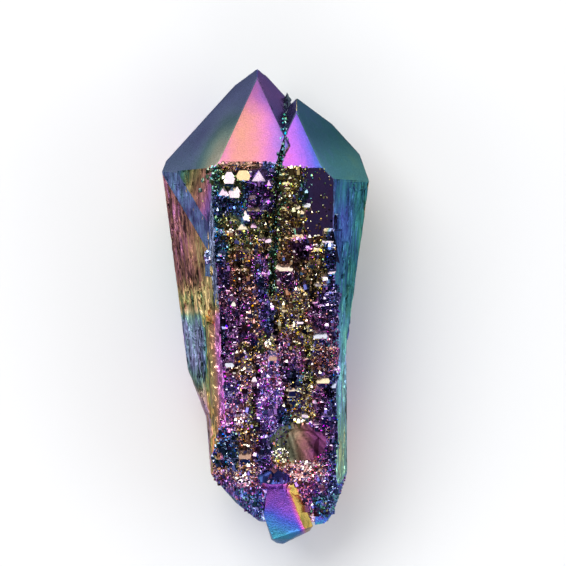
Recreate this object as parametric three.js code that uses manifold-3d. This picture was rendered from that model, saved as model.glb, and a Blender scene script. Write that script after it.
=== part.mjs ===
// Two quartz crystals grown side by side in one solid, lying on a prism face.
// They are modelled upright to their own long axis: x to the right, y to the tip, z out of the front face.
// The finished solid is then tipped so that the flat face at the back lies level on z = 0.
import * as THREE from 'three';
import { ConvexGeometry } from 'three/addons/geometries/ConvexGeometry.js';
import { mergeVertices } from 'three/addons/utils/BufferGeometryUtils.js';
import Module from 'manifold-3d';

const wasm = await Module();
wasm.setup();

const DEGREE = Math.PI / 180;
// Quartz habit: prism faces every 60 degrees, tip faces leaning 38.21 degrees to the long axis
const SIXTH = 60 * DEGREE;
const TIP_OUT = Math.cos(38.21 * DEGREE);
const TIP_UP = Math.sin(38.21 * DEGREE);
const TIP_SLOPE = TIP_UP / TIP_OUT;

// The crystals thin towards their root: the front by 4 degrees, the back by the angle they lie at
const FRONT_LEAN = 4 * DEGREE;
const REST_LEAN = 3.5 * DEGREE;
// Where the front face starts under the tip, and how far it stands out from the large crystal's axis
const FRONT_TOP_Y = 13.4;
const FRONT_TOP_Z = 6.87;

// Large crystal: apothem and the height where its back face ends and the tip starts
const MAJOR_APOTHEM = 7.54;
const MAJOR_SHOULDER_Y = 12.64;
// The two faces of its left flank, as distances from its axis, and how deep the strip between them cuts
const PLATEAU_REACH = 7.9;
const LEFT_REACH = 6.98;
const BAND_CUT = 0.14;
// Small crystal: axis, apothem, how far its axis stands in front of the large one's, and its ideal apex
const MINOR_X = 3.06;
const MINOR_Z = 1.74;
const MINOR_APOTHEM = 5.8;
const MINOR_APEX_Y = 19.53;
const MINOR_FLAT_TOP_Y = 19.85;

// Worn edges: depth of the small bevel along them
const EDGE_WEAR = 0.035;
// A growth step starts this far below the surface it stands on, and its front dips back into it
const STEP_ROOT = 1.1;
const STEP_DIP = 4.5 * DEGREE;
const STEP_MOST_RAISE = 0.6;

// A pit counts as open when at least this volume of its shape stands clear of the crystal
const OPEN_PIT = 1e-3;

// Corners closer than this are one corner, and a corner within ON_FACE of a face lies on it
const SAME_CORNER = 2e-3;
const ON_FACE = 1e-4;
// Edges shorter than this, or between faces closer in direction than this cosine, stay unworn
const SHORTEST_WORN_EDGE = 0.3;
const NEARLY_FLAT = 0.97;

// Hollow in the front near the root: centre, half sizes and depth
const HOLLOW = { x: 3.1, y: -13.8, halfX: 2.6, halfY: 2.5, depth: 1.05 };
// The pocket above the root crystal, likewise
const POCKET = { x: 0.6, y: -16.3, halfX: 1.7, halfY: 1.1, depth: 0.9 };

// ---------------------------------------------------------------- helpers

function randomSource(seed) {
  let state = seed;
  return () => {
    state = (state + 0x6d2b79f5) | 0;
    let mixed = Math.imul(state ^ (state >>> 15), 1 | state);
    mixed = (mixed + Math.imul(mixed ^ (mixed >>> 7), 61 | mixed)) ^ mixed;
    return ((mixed ^ (mixed >>> 14)) >>> 0) / 4294967296;
  };
}

function between(random, low, high) {
  return low + (high - low) * random();
}

// A face: its outward normal and its distance from the origin
function face(x, y, z, reach) {
  const normal = new THREE.Vector3(x, y, z);
  const length = normal.length();
  return { normal: normal.divideScalar(length), reach: reach / length };
}

function faceThrough(x, y, z, px, py, pz) {
  return face(x, y, z, x * px + y * py + z * pz);
}

// A tip face at one of the six azimuths; its reach is given in the same units as its unit normal
function tipFace(azimuth, reach) {
  const around = azimuth * SIXTH;
  return face(TIP_OUT * Math.sin(around), TIP_UP, TIP_OUT * Math.cos(around), reach);
}

function isOn(f, corner) {
  return Math.abs(f.normal.dot(corner) - f.reach) < ON_FACE;
}

function cornersOf(faces) {
  const corners = [];
  for (let i = 0; i < faces.length; i += 1) {
    for (let j = i + 1; j < faces.length; j += 1) {
      for (let k = j + 1; k < faces.length; k += 1) {
        const [a, b, c] = [faces[i], faces[j], faces[k]];
        const bc = new THREE.Vector3().crossVectors(b.normal, c.normal);
        const volume = a.normal.dot(bc);
        if (Math.abs(volume) < ON_FACE) continue;
        const corner = bc.multiplyScalar(a.reach);
        corner.addScaledVector(new THREE.Vector3().crossVectors(c.normal, a.normal), b.reach);
        corner.addScaledVector(new THREE.Vector3().crossVectors(a.normal, b.normal), c.reach);
        corner.divideScalar(volume);
        const inside = faces.every((f) => f.normal.dot(corner) <= f.reach + ON_FACE / 100);
        const isNew = corners.every((other) => other.distanceTo(corner) > SAME_CORNER);
        if (inside && isNew) corners.push(corner);
      }
    }
  }
  return corners;
}

function solidOf(geometry) {
  geometry.deleteAttribute('normal');
  geometry.deleteAttribute('uv');
  const welded = mergeVertices(geometry, ON_FACE);
  return new wasm.Manifold(new wasm.Mesh({
    numProp: 3,
    vertProperties: new Float32Array(welded.attributes.position.array),
    triVerts: new Uint32Array(welded.index.array),
  }));
}

function block(faces) {
  return solidOf(new ConvexGeometry(cornersOf(faces)));
}

function hull(points) {
  return solidOf(new ConvexGeometry(points.map(([x, y, z]) => new THREE.Vector3(x, y, z))));
}

// The same block with a narrow bevel along every edge between two of its faces
function wornBlock(faces) {
  const corners = cornersOf(faces);
  const bevels = [];
  for (let i = 0; i < faces.length; i += 1) {
    for (let j = i + 1; j < faces.length; j += 1) {
      const [a, b] = [faces[i], faces[j]];
      const shared = corners.filter((corner) => isOn(a, corner) && isOn(b, corner));
      const isEdge = shared.length > 1 && shared[0].distanceTo(shared[1]) > SHORTEST_WORN_EDGE;
      if (!isEdge || a.normal.dot(b.normal) > NEARLY_FLAT) continue;
      const normal = a.normal.clone().add(b.normal);
      const length = normal.length();
      bevels.push(face(normal.x, normal.y, normal.z, a.reach + b.reach - EDGE_WEAR * length));
    }
  }
  return block([...faces, ...bevels]);
}

// Height of a face over a point in plan
function heightOn(host, x, y) {
  return (host.reach - host.normal.x * x - host.normal.y * y) / host.normal.z;
}

// ---------------------------------------------------------------- faces of the two crystals

const front = faceThrough(0, -Math.sin(FRONT_LEAN), Math.cos(FRONT_LEAN), 0, FRONT_TOP_Y, FRONT_TOP_Z);
const rest = faceThrough(0, -Math.sin(REST_LEAN), -Math.cos(REST_LEAN), 0, MAJOR_SHOULDER_Y, -MAJOR_APOTHEM);
const plateau = face(-0.848, 0, 0.53, PLATEAU_REACH);
const leftSide = face(-0.887, -0.1, 0.45, LEFT_REACH);
const leftBack = faceThrough(-0.866, -0.132, -0.5, -9.76, 11.4, -0.85);
const rightSide = face(0.858, -0.053, 0.51, 8.328);
const rightBack = faceThrough(0.851, -0.184, -0.491, 9.71, 11.6, 1.2);
const majorRightBack = faceThrough(0.866, -0.1, -0.5, 3.22, MAJOR_SHOULDER_Y, -MAJOR_APOTHEM);
const minorBack = faceThrough(0, -0.08, -1, MINOR_X, MAJOR_SHOULDER_Y, MINOR_Z - MINOR_APOTHEM);
const lowerLeft = faceThrough(-0.92, -0.387, 0.1, -7.54, -5.56, -0.3);

const majorTip = tipFace(0, 13.73);
const majorFaces = [
  front, plateau, leftSide, leftBack, rest, majorRightBack, lowerLeft,
  // the narrow strip where the plateau breaks down to the left side
  face(-0.848 - 0.887, -0.1, 0.53 + 0.45, PLATEAU_REACH + LEFT_REACH - BAND_CUT),
  // the right flank, which dives behind the small crystal
  face(0.8, 0, 0.6, 5.03),
  faceThrough(0.866, -0.1, 0.5, 7.3, 11, 0),
  majorTip,
  tipFace(-1, 14.1),
  tipFace(1, 12.96),
  tipFace(-2, 15.68),
  tipFace(2, 13.96),
  tipFace(3, 14.4),
  face(0, -1, 0, 17.2),
];

function minorTip(azimuth, shift) {
  const around = azimuth * SIXTH;
  const ideal = TIP_UP * MINOR_APEX_Y + TIP_OUT * (MINOR_X * Math.sin(around) + MINOR_Z * Math.cos(around));
  return tipFace(azimuth, ideal + shift);
}

const minorFaces = [
  front, rightSide, rightBack, minorBack,
  faceThrough(-0.866, 0, 0.5, -0.29, 10, 7.3),
  faceThrough(-0.866, 0, -0.5, -3.4, 10, 0),
  minorTip(0, 0),
  minorTip(1, -0.5),
  minorTip(-1, -0.25),
  minorTip(2, 1.9),
  minorTip(-2, 0.6),
  minorTip(3, 0.9),
  face(0.06, 1, 0.14, MINOR_FLAT_TOP_Y + 0.06 * MINOR_X + 0.14 * MINOR_Z),
  face(0, -1, 0, 16.5),
];

// The thick root both crystals share
const rootFaces = [
  front,
  faceThrough(-0.997, -0.08, 0.12, -5.56, -9.9, 0),
  faceThrough(-0.68, -0.71, 0.12, -4.71, -16.03, 1),
  faceThrough(-0.35, -0.52, 0.78, -3.6, -15.6, 4.2),
  faceThrough(0.05, -0.66, 0.75, 1, -16.6, 4.5),
  face(0, -1, 0, 20.3),
  faceThrough(0.3, -0.9, 0.2, 6.0, -20.0, 1),
  faceThrough(0.93, -0.36, 0.1, 7.3, -16.2, 1),
  faceThrough(0.975, 0.01, 0.22, 7.4, -9, 0.6),
  faceThrough(0.85, 0, -0.53, 7.2, -9, -1),
  faceThrough(-0.8, -0.08, -0.6, -5.3, -12, -1.2),
  faceThrough(0.1, -0.74, -0.67, 0, -20, -1.6),
  faceThrough(0, 0.9, 0.5, 0, -1, 4.6),
  rest,
];

let crystal = wornBlock(majorFaces).add(wornBlock(minorFaces)).add(wornBlock(rootFaces));

// ---------------------------------------------------------------- growth steps on the faces

// The six flanks as hosts: each has an azimuth and the face it belongs to
const HOSTS = {
  front: { azimuth: 0, host: front },
  left: { azimuth: -1, host: leftSide },
  right: { azimuth: 1, host: rightSide },
  leftBack: { azimuth: -2, host: leftBack },
  rightBack: { azimuth: 2, host: rightBack },
  majorRightBack: { azimuth: 2, host: majorRightBack },
  minorBack: { azimuth: 3, host: minorBack },
};

// One small parallel crystal standing out of a flank. Its bright tip face is centred at (u, y), where u runs
// along the flank; it is `width` wide and `height` high, and `open` keeps the side tip faces clear of it.
function growthStep(where, u, y, width, height, open = 0, sink = 0, length = 5) {
  const { azimuth, host } = HOSTS[where];
  const out = new THREE.Vector3(Math.sin(azimuth * SIXTH), 0, Math.cos(azimuth * SIXTH));
  const along = new THREE.Vector3(Math.cos(azimuth * SIXTH), 0, -Math.sin(azimuth * SIXTH));
  const up = new THREE.Vector3(0, 1, 0);
  const raise = Math.min(TIP_SLOPE * height, STEP_MOST_RAISE);
  const shoulderY = y - height / 2;
  const reachLeft = host.reach - u * host.normal.dot(along) - shoulderY * host.normal.y;
  const surface = reachLeft / host.normal.dot(out);
  const shoulder = surface + raise - sink;
  const point = (du, dy, dOut) => new THREE.Vector3()
    .addScaledVector(along, u + du)
    .addScaledVector(up, shoulderY + dy)
    .addScaledVector(out, shoulder + dOut);
  const side = (a, b, c, at) => {
    const normal = along.clone().multiplyScalar(a).addScaledVector(up, b).addScaledVector(out, c);
    return face(normal.x, normal.y, normal.z, normal.dot(at));
  };
  const half = width / 2;
  const sine = Math.sin(SIXTH);
  const dip = STEP_DIP - Math.asin(host.normal.y);
  return block([
    side(0, -Math.sin(dip), Math.cos(dip), point(0, 0, 0)),
    side(sine, 0, 0.5, point(half, 0, 0)),
    side(-sine, 0, 0.5, point(-half, 0, 0)),
    side(0, raise, height, point(0, 0, 0)),
    side(TIP_OUT * sine, TIP_UP, TIP_OUT / 2, point(half + open, 0, 0)),
    side(-TIP_OUT * sine, TIP_UP, TIP_OUT / 2, point(-half - open, 0, 0)),
    side(0, 0, -1, point(0, 0, -raise - STEP_ROOT)),
    side(0, -1, 0, point(0, -length, 0)),
  ]);
}

// The steps stay within the three blocks' own outlines, which stand out a little further for them.
// None of them reaches down to the face that the crystal lies on.
const STEP_MARGIN = 0.3;
const FRONT_MARGIN = 0.9;
const REST_MARGIN = -0.05;
function limitOf(faces) {
  return block(faces.map((f) => {
    const margin = f === front ? FRONT_MARGIN : f === rest ? REST_MARGIN : STEP_MARGIN;
    return { normal: f.normal, reach: f.reach + margin };
  }));
}
const limits = [limitOf(majorFaces), limitOf(minorFaces), limitOf(rootFaces)];
const stepLimit = wasm.Manifold.union(limits);

const steps = [];

// Broad ribs that run down the front, side by side
const RIBS = [
  // x, tip y, width, tip height
  [-4.3, 7.2, 1.2, 0.5], [-2.9, 9.4, 1.3, 0.5], [-1.2, 7.4, 1.5, 0.55], [0.1, 8.6, 0.9, 0.4],
  [2.2, 11.6, 1.2, 0.4], [2.4, 6.6, 1.5, 0.5], [4.4, 5.4, 1.6, 0.5], [5.9, 7.2, 0.9, 0.4],
  [-3.9, 1.6, 1.2, 0.5], [-2.4, 3.6, 1.4, 0.5], [-0.9, 1.9, 1.2, 0.5], [1.3, 0.9, 1.0, 0.5],
  [2.9, 1.7, 1.4, 0.5], [4.7, 0.3, 1.5, 0.5], [6.0, 1.9, 0.8, 0.4], [-3.2, -3.4, 1.2, 0.5],
  [-1.7, -2.2, 1.3, 0.5], [0.8, -3.6, 1.3, 0.55], [2.5, -3.3, 1.2, 0.5], [-2.9, -7.9, 1.4, 0.5],
  [-0.9, -8.5, 1.6, 0.6], [1.3, -6.5, 1.2, 0.5], [3.6, -6.4, 1.4, 0.5], [5.2, -4.6, 1.2, 0.5],
  [6.3, -8.4, 0.8, 0.4], [-3.9, -12.3, 1.1, 0.5], [-2.3, -11.6, 1.3, 0.5],
];
const RIB_LENGTH = 4.2;
const RIB_SINK = 0.06;
for (const [x, y, width, height] of RIBS) {
  steps.push(growthStep('front', x, y, width, height, 0.1, RIB_SINK, RIB_LENGTH));
}

// The large steps that catch the light
const BRIGHT_STEPS = [
  // x, y, width, height, how open
  [-3.45, 12.1, 0.8, 1.25, 0.5], [-2.12, 12.3, 1.05, 1.05, 0.4], [-0.68, 12.4, 1.3, 1.4, 0],
  [-3.95, 10.95, 0.85, 1.2, 0.1], [-2.95, 10.85, 0.85, 1.4, 0.5], [0.25, 11.6, 0.5, 0.65, 0],
  [-1.25, 10.2, 0.45, 0.45, 0.2], [-0.85, 9.1, 1.75, 0.4, 0.1], [-1.85, 8.55, 0.45, 1.0, 0.4],
  [-3.05, 8.25, 0.6, 0.5, 0.1], [-2.2, 7.75, 0.95, 1.15, 0], [-1.15, 7.6, 0.5, 0.55, 0.1],
  [-0.45, 6.4, 0.6, 0.5, 0.2], [0.2, 6.2, 0.45, 0.6, 0.2], [-2.0, 5.2, 0.95, 0.28, 0.1],
  [-4.15, 4.95, 0.6, 0.5, 0.1], [1.75, 3.6, 1.4, 0.65, 0.3], [6.2, 3.2, 0.7, 0.4, 0.1],
  [5.8, 6.15, 0.95, 0.4, 0.1], [2.87, 9.3, 0.5, 0.45, 0.2], [3.85, 9.45, 0.5, 0.4, 0.2],
  [3.35, 8.85, 0.4, 0.45, 0.2], [3.45, 8.3, 0.5, 0.3, 0.1], [5.5, 2.75, 0.45, 0.45, 0.1],
  [4.9, 2.1, 0.5, 0.5, 0.1], [4.15, 3.85, 0.6, 0.25, 0.1], [3.2, -1.45, 0.55, 0.45, 0.1],
  [5.1, -2.65, 1.1, 0.8, 0.2], [-3.05, 0.35, 0.35, 0.75, 0.1], [-1.1, -2.55, 0.65, 0.25, 0.1],
  [0.65, -4.7, 0.65, 0.85, 0.2], [-3.4, -5.4, 0.7, 0.65, 0.2], [-1.65, -5.95, 0.6, 0.4, 0.1],
  [-1.1, -6.8, 0.45, 0.7, 0.1], [5.35, -6.85, 1.1, 0.8, 0.2], [4.95, -7.5, 0.5, 0.6, 0.1],
  [6.45, -7.5, 0.5, 0.4, 0.1], [2.45, -8.35, 0.65, 0.4, 0.2], [2.6, -7.8, 0.95, 0.4, 0.1],
  [-2.55, -10.4, 0.65, 0.5, 0.1], [3.65, -10.3, 0.6, 0.4, 0.1], [3.05, -10.65, 0.5, 0.4, 0.1],
  [4.05, -10.85, 0.5, 0.45, 0.1], [4.75, -10.95, 0.45, 0.4, 0.1], [5.75, -10.1, 1.0, 0.45, 0.1],
  [-4.3, -14.1, 0.45, 0.55, 0.1], [-2.0, -13.95, 1.0, 0.8, 0.2],
];
// Near the tip they crowd together, so each is short enough to leave the next one bare
const CROWDED_FROM_Y = 8;
const CROWDED_LENGTH = 0.35;
const BRIGHT_LENGTH = 3;
for (const [x, y, width, height, open] of BRIGHT_STEPS) {
  const length = y > CROWDED_FROM_Y ? CROWDED_LENGTH : BRIGHT_LENGTH;
  steps.push(growthStep('front', x, y, width, height, open, 0, length));
}

// Small steps scattered over the front, clear of the larger ones, the smooth patch and the hollow
const FRONT_STEPS = 60;
const frontRandom = randomSource(11);
const taken = BRIGHT_STEPS.map(([x, y]) => [x, y]);
let placed = 0;
while (placed < FRONT_STEPS) {
  const y = between(frontRandom, -15.5, 12.3);
  const x = between(frontRandom, -4.6 + (12.3 - y) * 0.035, 6.2);
  const width = between(frontRandom, 0.35, 0.95);
  const height = between(frontRandom, 0.3, 0.6);
  const onSmoothPatch = x > 3.2 && y > 6.0;
  const inHollow = Math.hypot((x - HOLLOW.x) / HOLLOW.halfX, (y - HOLLOW.y) / HOLLOW.halfY) < 1.1;
  const inGroove = y > 2 && Math.abs(x - 0.9) < 0.7;
  const crowded = taken.some(([tx, ty]) => Math.hypot(tx - x, (ty - y) * 0.7) < 0.75);
  if (onSmoothPatch || inHollow || inGroove || crowded) continue;
  steps.push(growthStep('front', x, y, width, height, between(frontRandom, 0, 0.25), 0, 2.6));
  taken.push([x, y]);
  placed += 1;
}

// Shingled steps on the other flanks: how many, and the range of u, y, width and height on each
const FLANK_STEPS = [
  {
    where: 'left', seed: 21, count: 6, u: [-1.4, 2.0],
    y: [-4, 5], width: [0.4, 0.9], height: [0.15, 0.25],
  },
  {
    where: 'right', seed: 22, count: 7, u: [-2.0, 1.4],
    y: [0, 10], width: [0.4, 1.0], height: [0.15, 0.25],
  },
  {
    where: 'leftBack', seed: 23, count: 9, u: [-3.2, 1.6],
    y: [-5, 11], width: [0.8, 2.2], height: [0.3, 0.6],
  },
  {
    where: 'rightBack', seed: 24, count: 9, u: [-3.4, 0.4],
    y: [-12, 11], width: [0.8, 2.0], height: [0.3, 0.6],
  },
  {
    where: 'majorRightBack', seed: 25, count: 7, u: [0.6, 3.8],
    y: [-13, 11], width: [0.8, 1.8], height: [0.3, 0.5],
  },
];
for (const { where, seed, count, u, y, width, height } of FLANK_STEPS) {
  const random = randomSource(seed);
  for (let i = 0; i < count; i += 1) {
    const stepY = y[0] + ((i + random()) / count) * (y[1] - y[0]);
    const stepU = between(random, u[0], u[1]);
    const stepWidth = between(random, width[0], width[1]);
    const stepHeight = between(random, height[0], height[1]);
    steps.push(growthStep(where, stepU, stepY, stepWidth, stepHeight, 0.1));
  }
}

crystal = crystal.add(wasm.Manifold.union(steps).intersect(stepLimit));

// ---------------------------------------------------------------- hollows, grooves and pits

// Rough valley between the two tips, widening towards the front face
const topOfTip = (y) => heightOn(majorTip, 0, y);
const valley = hull([
  [1.75, 16.2, topOfTip(16.2) + 1], [1.1, 14.7, topOfTip(14.7) + 1], [0.62, 13.3, FRONT_TOP_Z + 1],
  [2.0, 13.2, FRONT_TOP_Z + 1], [1.98, 14.9, topOfTip(14.9) + 1], [1.3, 12.6, FRONT_TOP_Z + 1],
  [1.75, 15.9, topOfTip(15.9) - 0.2], [1.5, 14.6, topOfTip(14.6) - 0.7], [1.3, 13.1, FRONT_TOP_Z - 0.65],
]);
// The groove it narrows to wanders down the front: x, y, half width, depth
const GROOVE = [
  [1.3, 13.2, 0.44, 0.5], [1.0, 11.5, 0.36, 0.42], [1.14, 9.8, 0.4, 0.4], [0.82, 8.0, 0.32, 0.36],
  [0.92, 6.1, 0.36, 0.34], [0.6, 4.2, 0.28, 0.3], [0.66, 2.4, 0.28, 0.26], [0.4, 0.9, 0.16, 0.2],
];
function grooveSection([x, y, half, depth]) {
  const top = heightOn(front, x, y);
  return [
    [x - half, y, top], [x + half, y, top], [x - half, y, top + 1], [x + half, y, top + 1],
    [x, y, top - depth],
  ];
}
const grooveCuts = GROOVE.slice(1).map((end, index) => (
  hull([...grooveSection(GROOVE[index]), ...grooveSection(end)])
));

// An ellipsoid with flat sides, set into a face: its long side runs towards the root
function pit(host, x, y, halfWidth, halfLength, depth, detail = 0) {
  const across = new THREE.Vector3().crossVectors(new THREE.Vector3(0, 1, 0), host.normal).normalize();
  const along = new THREE.Vector3().crossVectors(host.normal, across);
  const geometry = new THREE.IcosahedronGeometry(1, detail);
  geometry.scale(halfWidth, halfLength, depth);
  const place = new THREE.Matrix4().makeBasis(across, along, host.normal);
  const centre = new THREE.Vector3(x, y, heightOn(host, x, y)).addScaledVector(host.normal, depth * 0.15);
  geometry.applyMatrix4(place.setPosition(centre));
  return solidOf(geometry);
}

// Small bites out of the edge between the large tip face and the front: x and half size
const CHIPS = [
  [-4.0, 0.28], [-3.45, 0.17], [-2.6, 0.34], [-1.9, 0.21],
  [-1.1, 0.36], [-0.75, 0.22], [-0.1, 0.4], [0.4, 0.25],
];
const chips = CHIPS.map(([x, size]) => {
  const bite = new THREE.OctahedronGeometry(size, 0);
  bite.rotateZ(x * 5);
  bite.rotateX(x * 3);
  bite.translate(x, FRONT_TOP_Y + size * 0.15, FRONT_TOP_Z + size * 0.18);
  return solidOf(bite);
});

const cuts = [valley, ...grooveCuts, ...chips];
for (const { x, y, halfX, halfY, depth } of [HOLLOW, POCKET]) {
  cuts.push(pit(front, x, y, halfX, halfY, depth, 1));
}

// Long pits on the flanks: how many, where in plan, and their half width, half length and depth
const PITS = [
  {
    host: leftSide, seed: 31, count: 20, x: [-8.7, -5.3], y: [-7, 7],
    width: [0.1, 0.24], length: [0.35, 1.1], depth: 0.16,
  },
  {
    host: plateau, seed: 32, count: 6, x: [-8.3, -5.8], y: [8, 12],
    width: [0.08, 0.16], length: [0.12, 0.3], depth: 0.1,
  },
  {
    host: rightSide, seed: 33, count: 16, x: [6.9, 8.5], y: [-2, 10],
    width: [0.1, 0.22], length: [0.3, 0.9], depth: 0.15,
  },
  {
    host: leftBack, seed: 34, count: 8, x: [-8.6, -6.4], y: [-6, 10],
    width: [0.12, 0.26], length: [0.3, 1.0], depth: 0.15,
  },
];
for (const { host, seed, count, x, y, width, length, depth } of PITS) {
  const random = randomSource(seed);
  for (let i = 0; i < count; i += 1) {
    const pitY = y[0] + ((i + random()) / count) * (y[1] - y[0]);
    const drift = (y[1] - pitY) * 0.09 * -Math.sign(x[0]);
    const pitX = between(random, x[0], x[1]) + drift;
    const halfWidth = between(random, width[0], width[1]);
    const shape = pit(host, pitX, pitY, halfWidth, between(random, length[0], length[1]), depth);
    // a pit that a growth step covers stays closed
    const isOpen = shape.subtract(crystal).volume() > OPEN_PIT;
    if (isOpen) cuts.push(shape);
  }
}

crystal = crystal.subtract(wasm.Manifold.union(cuts));

// ---------------------------------------------------------------- what grows in the hollows and at the root

// The root crystal: a broken prism that points down out of the pocket
const rootCrystal = hull([
  [0.2, -16.75, 4.3], [2.0, -16.6, 4.4], [3.62, -20.95, 3.0], [0.65, -21.9, 2.6], [-0.2, -19.7, 3.3],
  [2.95, -17.3, 3.5], [4.42, -20.7, 2.2], [2.4, -21.9, 1.2], [-0.45, -18.4, 0.9], [0.5, -22.0, 0.6],
  [1.0, -22.35, -0.4], [1.6, -22.42, -0.5], [4.1, -21.2, -1.0], [3.2, -17.5, -2.6], [0, -17.5, -2.4],
  [3.0, -20.6, -2.6], [0.6, -20.8, -2.4],
]);
// Lumps and points beside it
const lumps = [
  hull([
    [3.15, -16.6, 4.2], [3.85, -19.0, 3.1], [4.1, -17.4, 3.5], [4.5, -19.3, 2.4], [3.3, -17.7, 3.3],
    [3.0, -17.6, 0], [5.0, -17.6, 0], [4.4, -20.0, 0.2],
  ]),
  hull([
    [4.7, -18.4, 3.0], [5.9, -18.1, 2.6], [6.1, -19.7, 1.4], [5.5, -20.45, 0.9], [4.6, -20.6, 1.0],
    [4.4, -18.4, -1.6], [6.2, -18.2, -1.4], [5.2, -20.3, -0.8],
  ]),
  hull([
    [-1.9, -17.2, 3.0], [-0.7, -16.8, 4.0], [-0.3, -18.9, 3.1], [-0.9, -19.5, 1.8], [-2.1, -18.6, 1.4],
    [-1.8, -17.0, -1.2], [0.2, -17.4, -1.4], [-0.6, -19.4, -0.8],
  ]),
];

// Steps inside the hollow and around its rim: x, y, width, height, how open, how deep
const HOLLOW_STEPS = [
  [1.3, -14.2, 0.8, 0.6, 0.1, 0.45], [2.2, -14.7, 0.8, 0.6, 0.1, 0.75], [3.1, -15.0, 0.8, 0.5, 0.1, 0.8],
  [4.0, -15.1, 0.8, 0.6, 0.1, 0.65], [4.8, -14.6, 0.7, 0.6, 0.1, 0.5], [3.5, -15.9, 0.8, 0.5, 0.1, 0.35],
  [2.5, -15.7, 0.7, 0.5, 0.1, 0.5], [5.3, -12.4, 0.6, 0.5, 0.1, 0.2], [1.0, -12.3, 0.7, 0.5, 0.1, 0.2],
];
const inside = HOLLOW_STEPS.map(([x, y, width, height, open, sink]) => (
  growthStep('front', x, y, width, height, open, sink, 1.6).intersect(stepLimit)
));

// Rubble of small points along the seam between the tips, in the valley and down the groove
const RUBBLE = [
  // how many, where the line starts and ends, and the size of the points there
  {
    seed: 41, count: 11, from: [1.86, 19.55, -1.15],
    to: [1.86, 16.0, 4.45], size: [0.5, 0.32], spread: 0.18,
  },
  {
    seed: 52, count: 14, from: [1.75, 15.9, 4.7],
    to: [1.25, 13.0, 6.1], size: [0.28, 0.36], spread: 0.3,
  },
  { seed: 43, count: 9, from: [1.2, 12.6, 6.15], to: [1.05, 9.4, 6.0], size: [0.32, 0.28], spread: 0.14 },
  { seed: 44, count: 9, from: [0.95, 8.9, 5.98], to: [0.6, 2.2, 5.66], size: [0.28, 0.2], spread: 0.12 },
];
const rubble = [];
for (const { seed, count, from, to, size, spread } of RUBBLE) {
  const random = randomSource(seed);
  const start = new THREE.Vector3(...from);
  const end = new THREE.Vector3(...to);
  for (let i = 0; i < count; i += 1) {
    const share = (i + 0.5) / count;
    const radius = (size[0] + (size[1] - size[0]) * share) * between(random, 0.75, 1.2);
    const point = new THREE.OctahedronGeometry(radius, 0);
    point.scale(0.75, 1.25, 0.9);
    point.rotateZ(between(random, -0.7, 0.7));
    point.rotateX(between(random, -0.6, 0.6));
    point.rotateY(between(random, -0.8, 0.8));
    const place = start.clone().lerp(end, share);
    place.x += between(random, -spread, spread);
    place.z += between(random, -0.08, 0.08);
    point.translate(place.x, place.y, place.z);
    rubble.push(solidOf(point));
  }
}

crystal = wasm.Manifold.union([crystal, rootCrystal, ...lumps, ...inside, ...rubble]);

// ---------------------------------------------------------------- the part

const geometry = new THREE.BufferGeometry();
const result = crystal.getMesh();
geometry.setAttribute('position', new THREE.BufferAttribute(new Float32Array(result.vertProperties), 3));
geometry.setIndex(new THREE.BufferAttribute(new Uint32Array(result.triVerts), 1));
geometry.rotateX(REST_LEAN);
geometry.computeBoundingBox();
const { min, max } = geometry.boundingBox;
geometry.translate(-(min.x + max.x) / 2, -(min.y + max.y) / 2, -min.z);
geometry.computeVertexNormals();

const mesh = new THREE.Mesh(geometry, new THREE.MeshStandardMaterial({
  color: 0x7a5a86,
  roughness: 0.25,
  metalness: 0.8,
}));
mesh.name = 'crystal';

const part = new THREE.Group();
part.name = 'aura_quartz_crystal';
part.add(mesh);
export default part;
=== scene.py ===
import math

import bpy
import numpy as np
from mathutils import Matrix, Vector
from mathutils.bvhtree import BVHTree


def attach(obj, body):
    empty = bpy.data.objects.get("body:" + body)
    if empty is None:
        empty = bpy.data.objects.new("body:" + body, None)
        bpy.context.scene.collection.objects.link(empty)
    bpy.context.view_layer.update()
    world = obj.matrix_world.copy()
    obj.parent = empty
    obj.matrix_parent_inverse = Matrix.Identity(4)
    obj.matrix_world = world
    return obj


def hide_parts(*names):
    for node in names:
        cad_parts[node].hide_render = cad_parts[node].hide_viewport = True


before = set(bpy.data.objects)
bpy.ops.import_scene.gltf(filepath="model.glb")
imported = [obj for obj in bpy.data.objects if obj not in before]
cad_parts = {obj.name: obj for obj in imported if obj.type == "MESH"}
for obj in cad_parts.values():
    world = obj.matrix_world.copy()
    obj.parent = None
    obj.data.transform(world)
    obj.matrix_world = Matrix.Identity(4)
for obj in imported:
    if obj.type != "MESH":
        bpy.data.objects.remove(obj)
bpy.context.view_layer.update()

MM = 0.001

# ---------------- frames
# The crystal's own frame, in millimetres: x right, y to the tip, z out of the front face.
REST_LEAN = math.radians(3.5)                     # it lies on its back face, which leans this much
REST_SHIFT = np.array([0.0508, 0.0215, 6.7543])   # where the middle of its own frame then is
COS_L, SIN_L = math.cos(REST_LEAN), math.sin(REST_LEAN)
TURN = np.array([[1, 0, 0], [0, COS_L, -SIN_L], [0, SIN_L, COS_L]])


def to_world(points):
    return (np.asarray(points) @ TURN.T + REST_SHIFT) * MM


def to_crystal(points):
    return (np.asarray(points) / MM - REST_SHIFT) @ TURN


# ---------------- noise and small maths
# large odd numbers that scatter the points of the lattice
HASH_STEPS = np.array([374761393, 668265263, 2147483647])
HASH_SEED, HASH_STIR = 974634777, 1274126177
HASH_MASK, HASH_HALF = 0xFFFFFF, 0x7FFFFF
OCTAVES_REACH = 1.6


def hash_noise(points, seed):
    """Smooth noise from -1 to 1 on a unit lattice, for an array of points."""
    base = np.floor(points).astype(np.int64)
    part = points - base
    part = part * part * (3 - 2 * part)
    total = np.zeros(len(points))
    for corner in np.ndindex(2, 2, 2):
        h = (base + corner) @ HASH_STEPS + seed * HASH_SEED
        h = (h ^ (h >> 13)) * HASH_STIR
        h = (h ^ (h >> 16)) & HASH_MASK
        weight = np.where(corner, part, 1 - part).prod(axis=1)
        total += weight * (h / HASH_HALF - 1.0)
    return total


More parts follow.
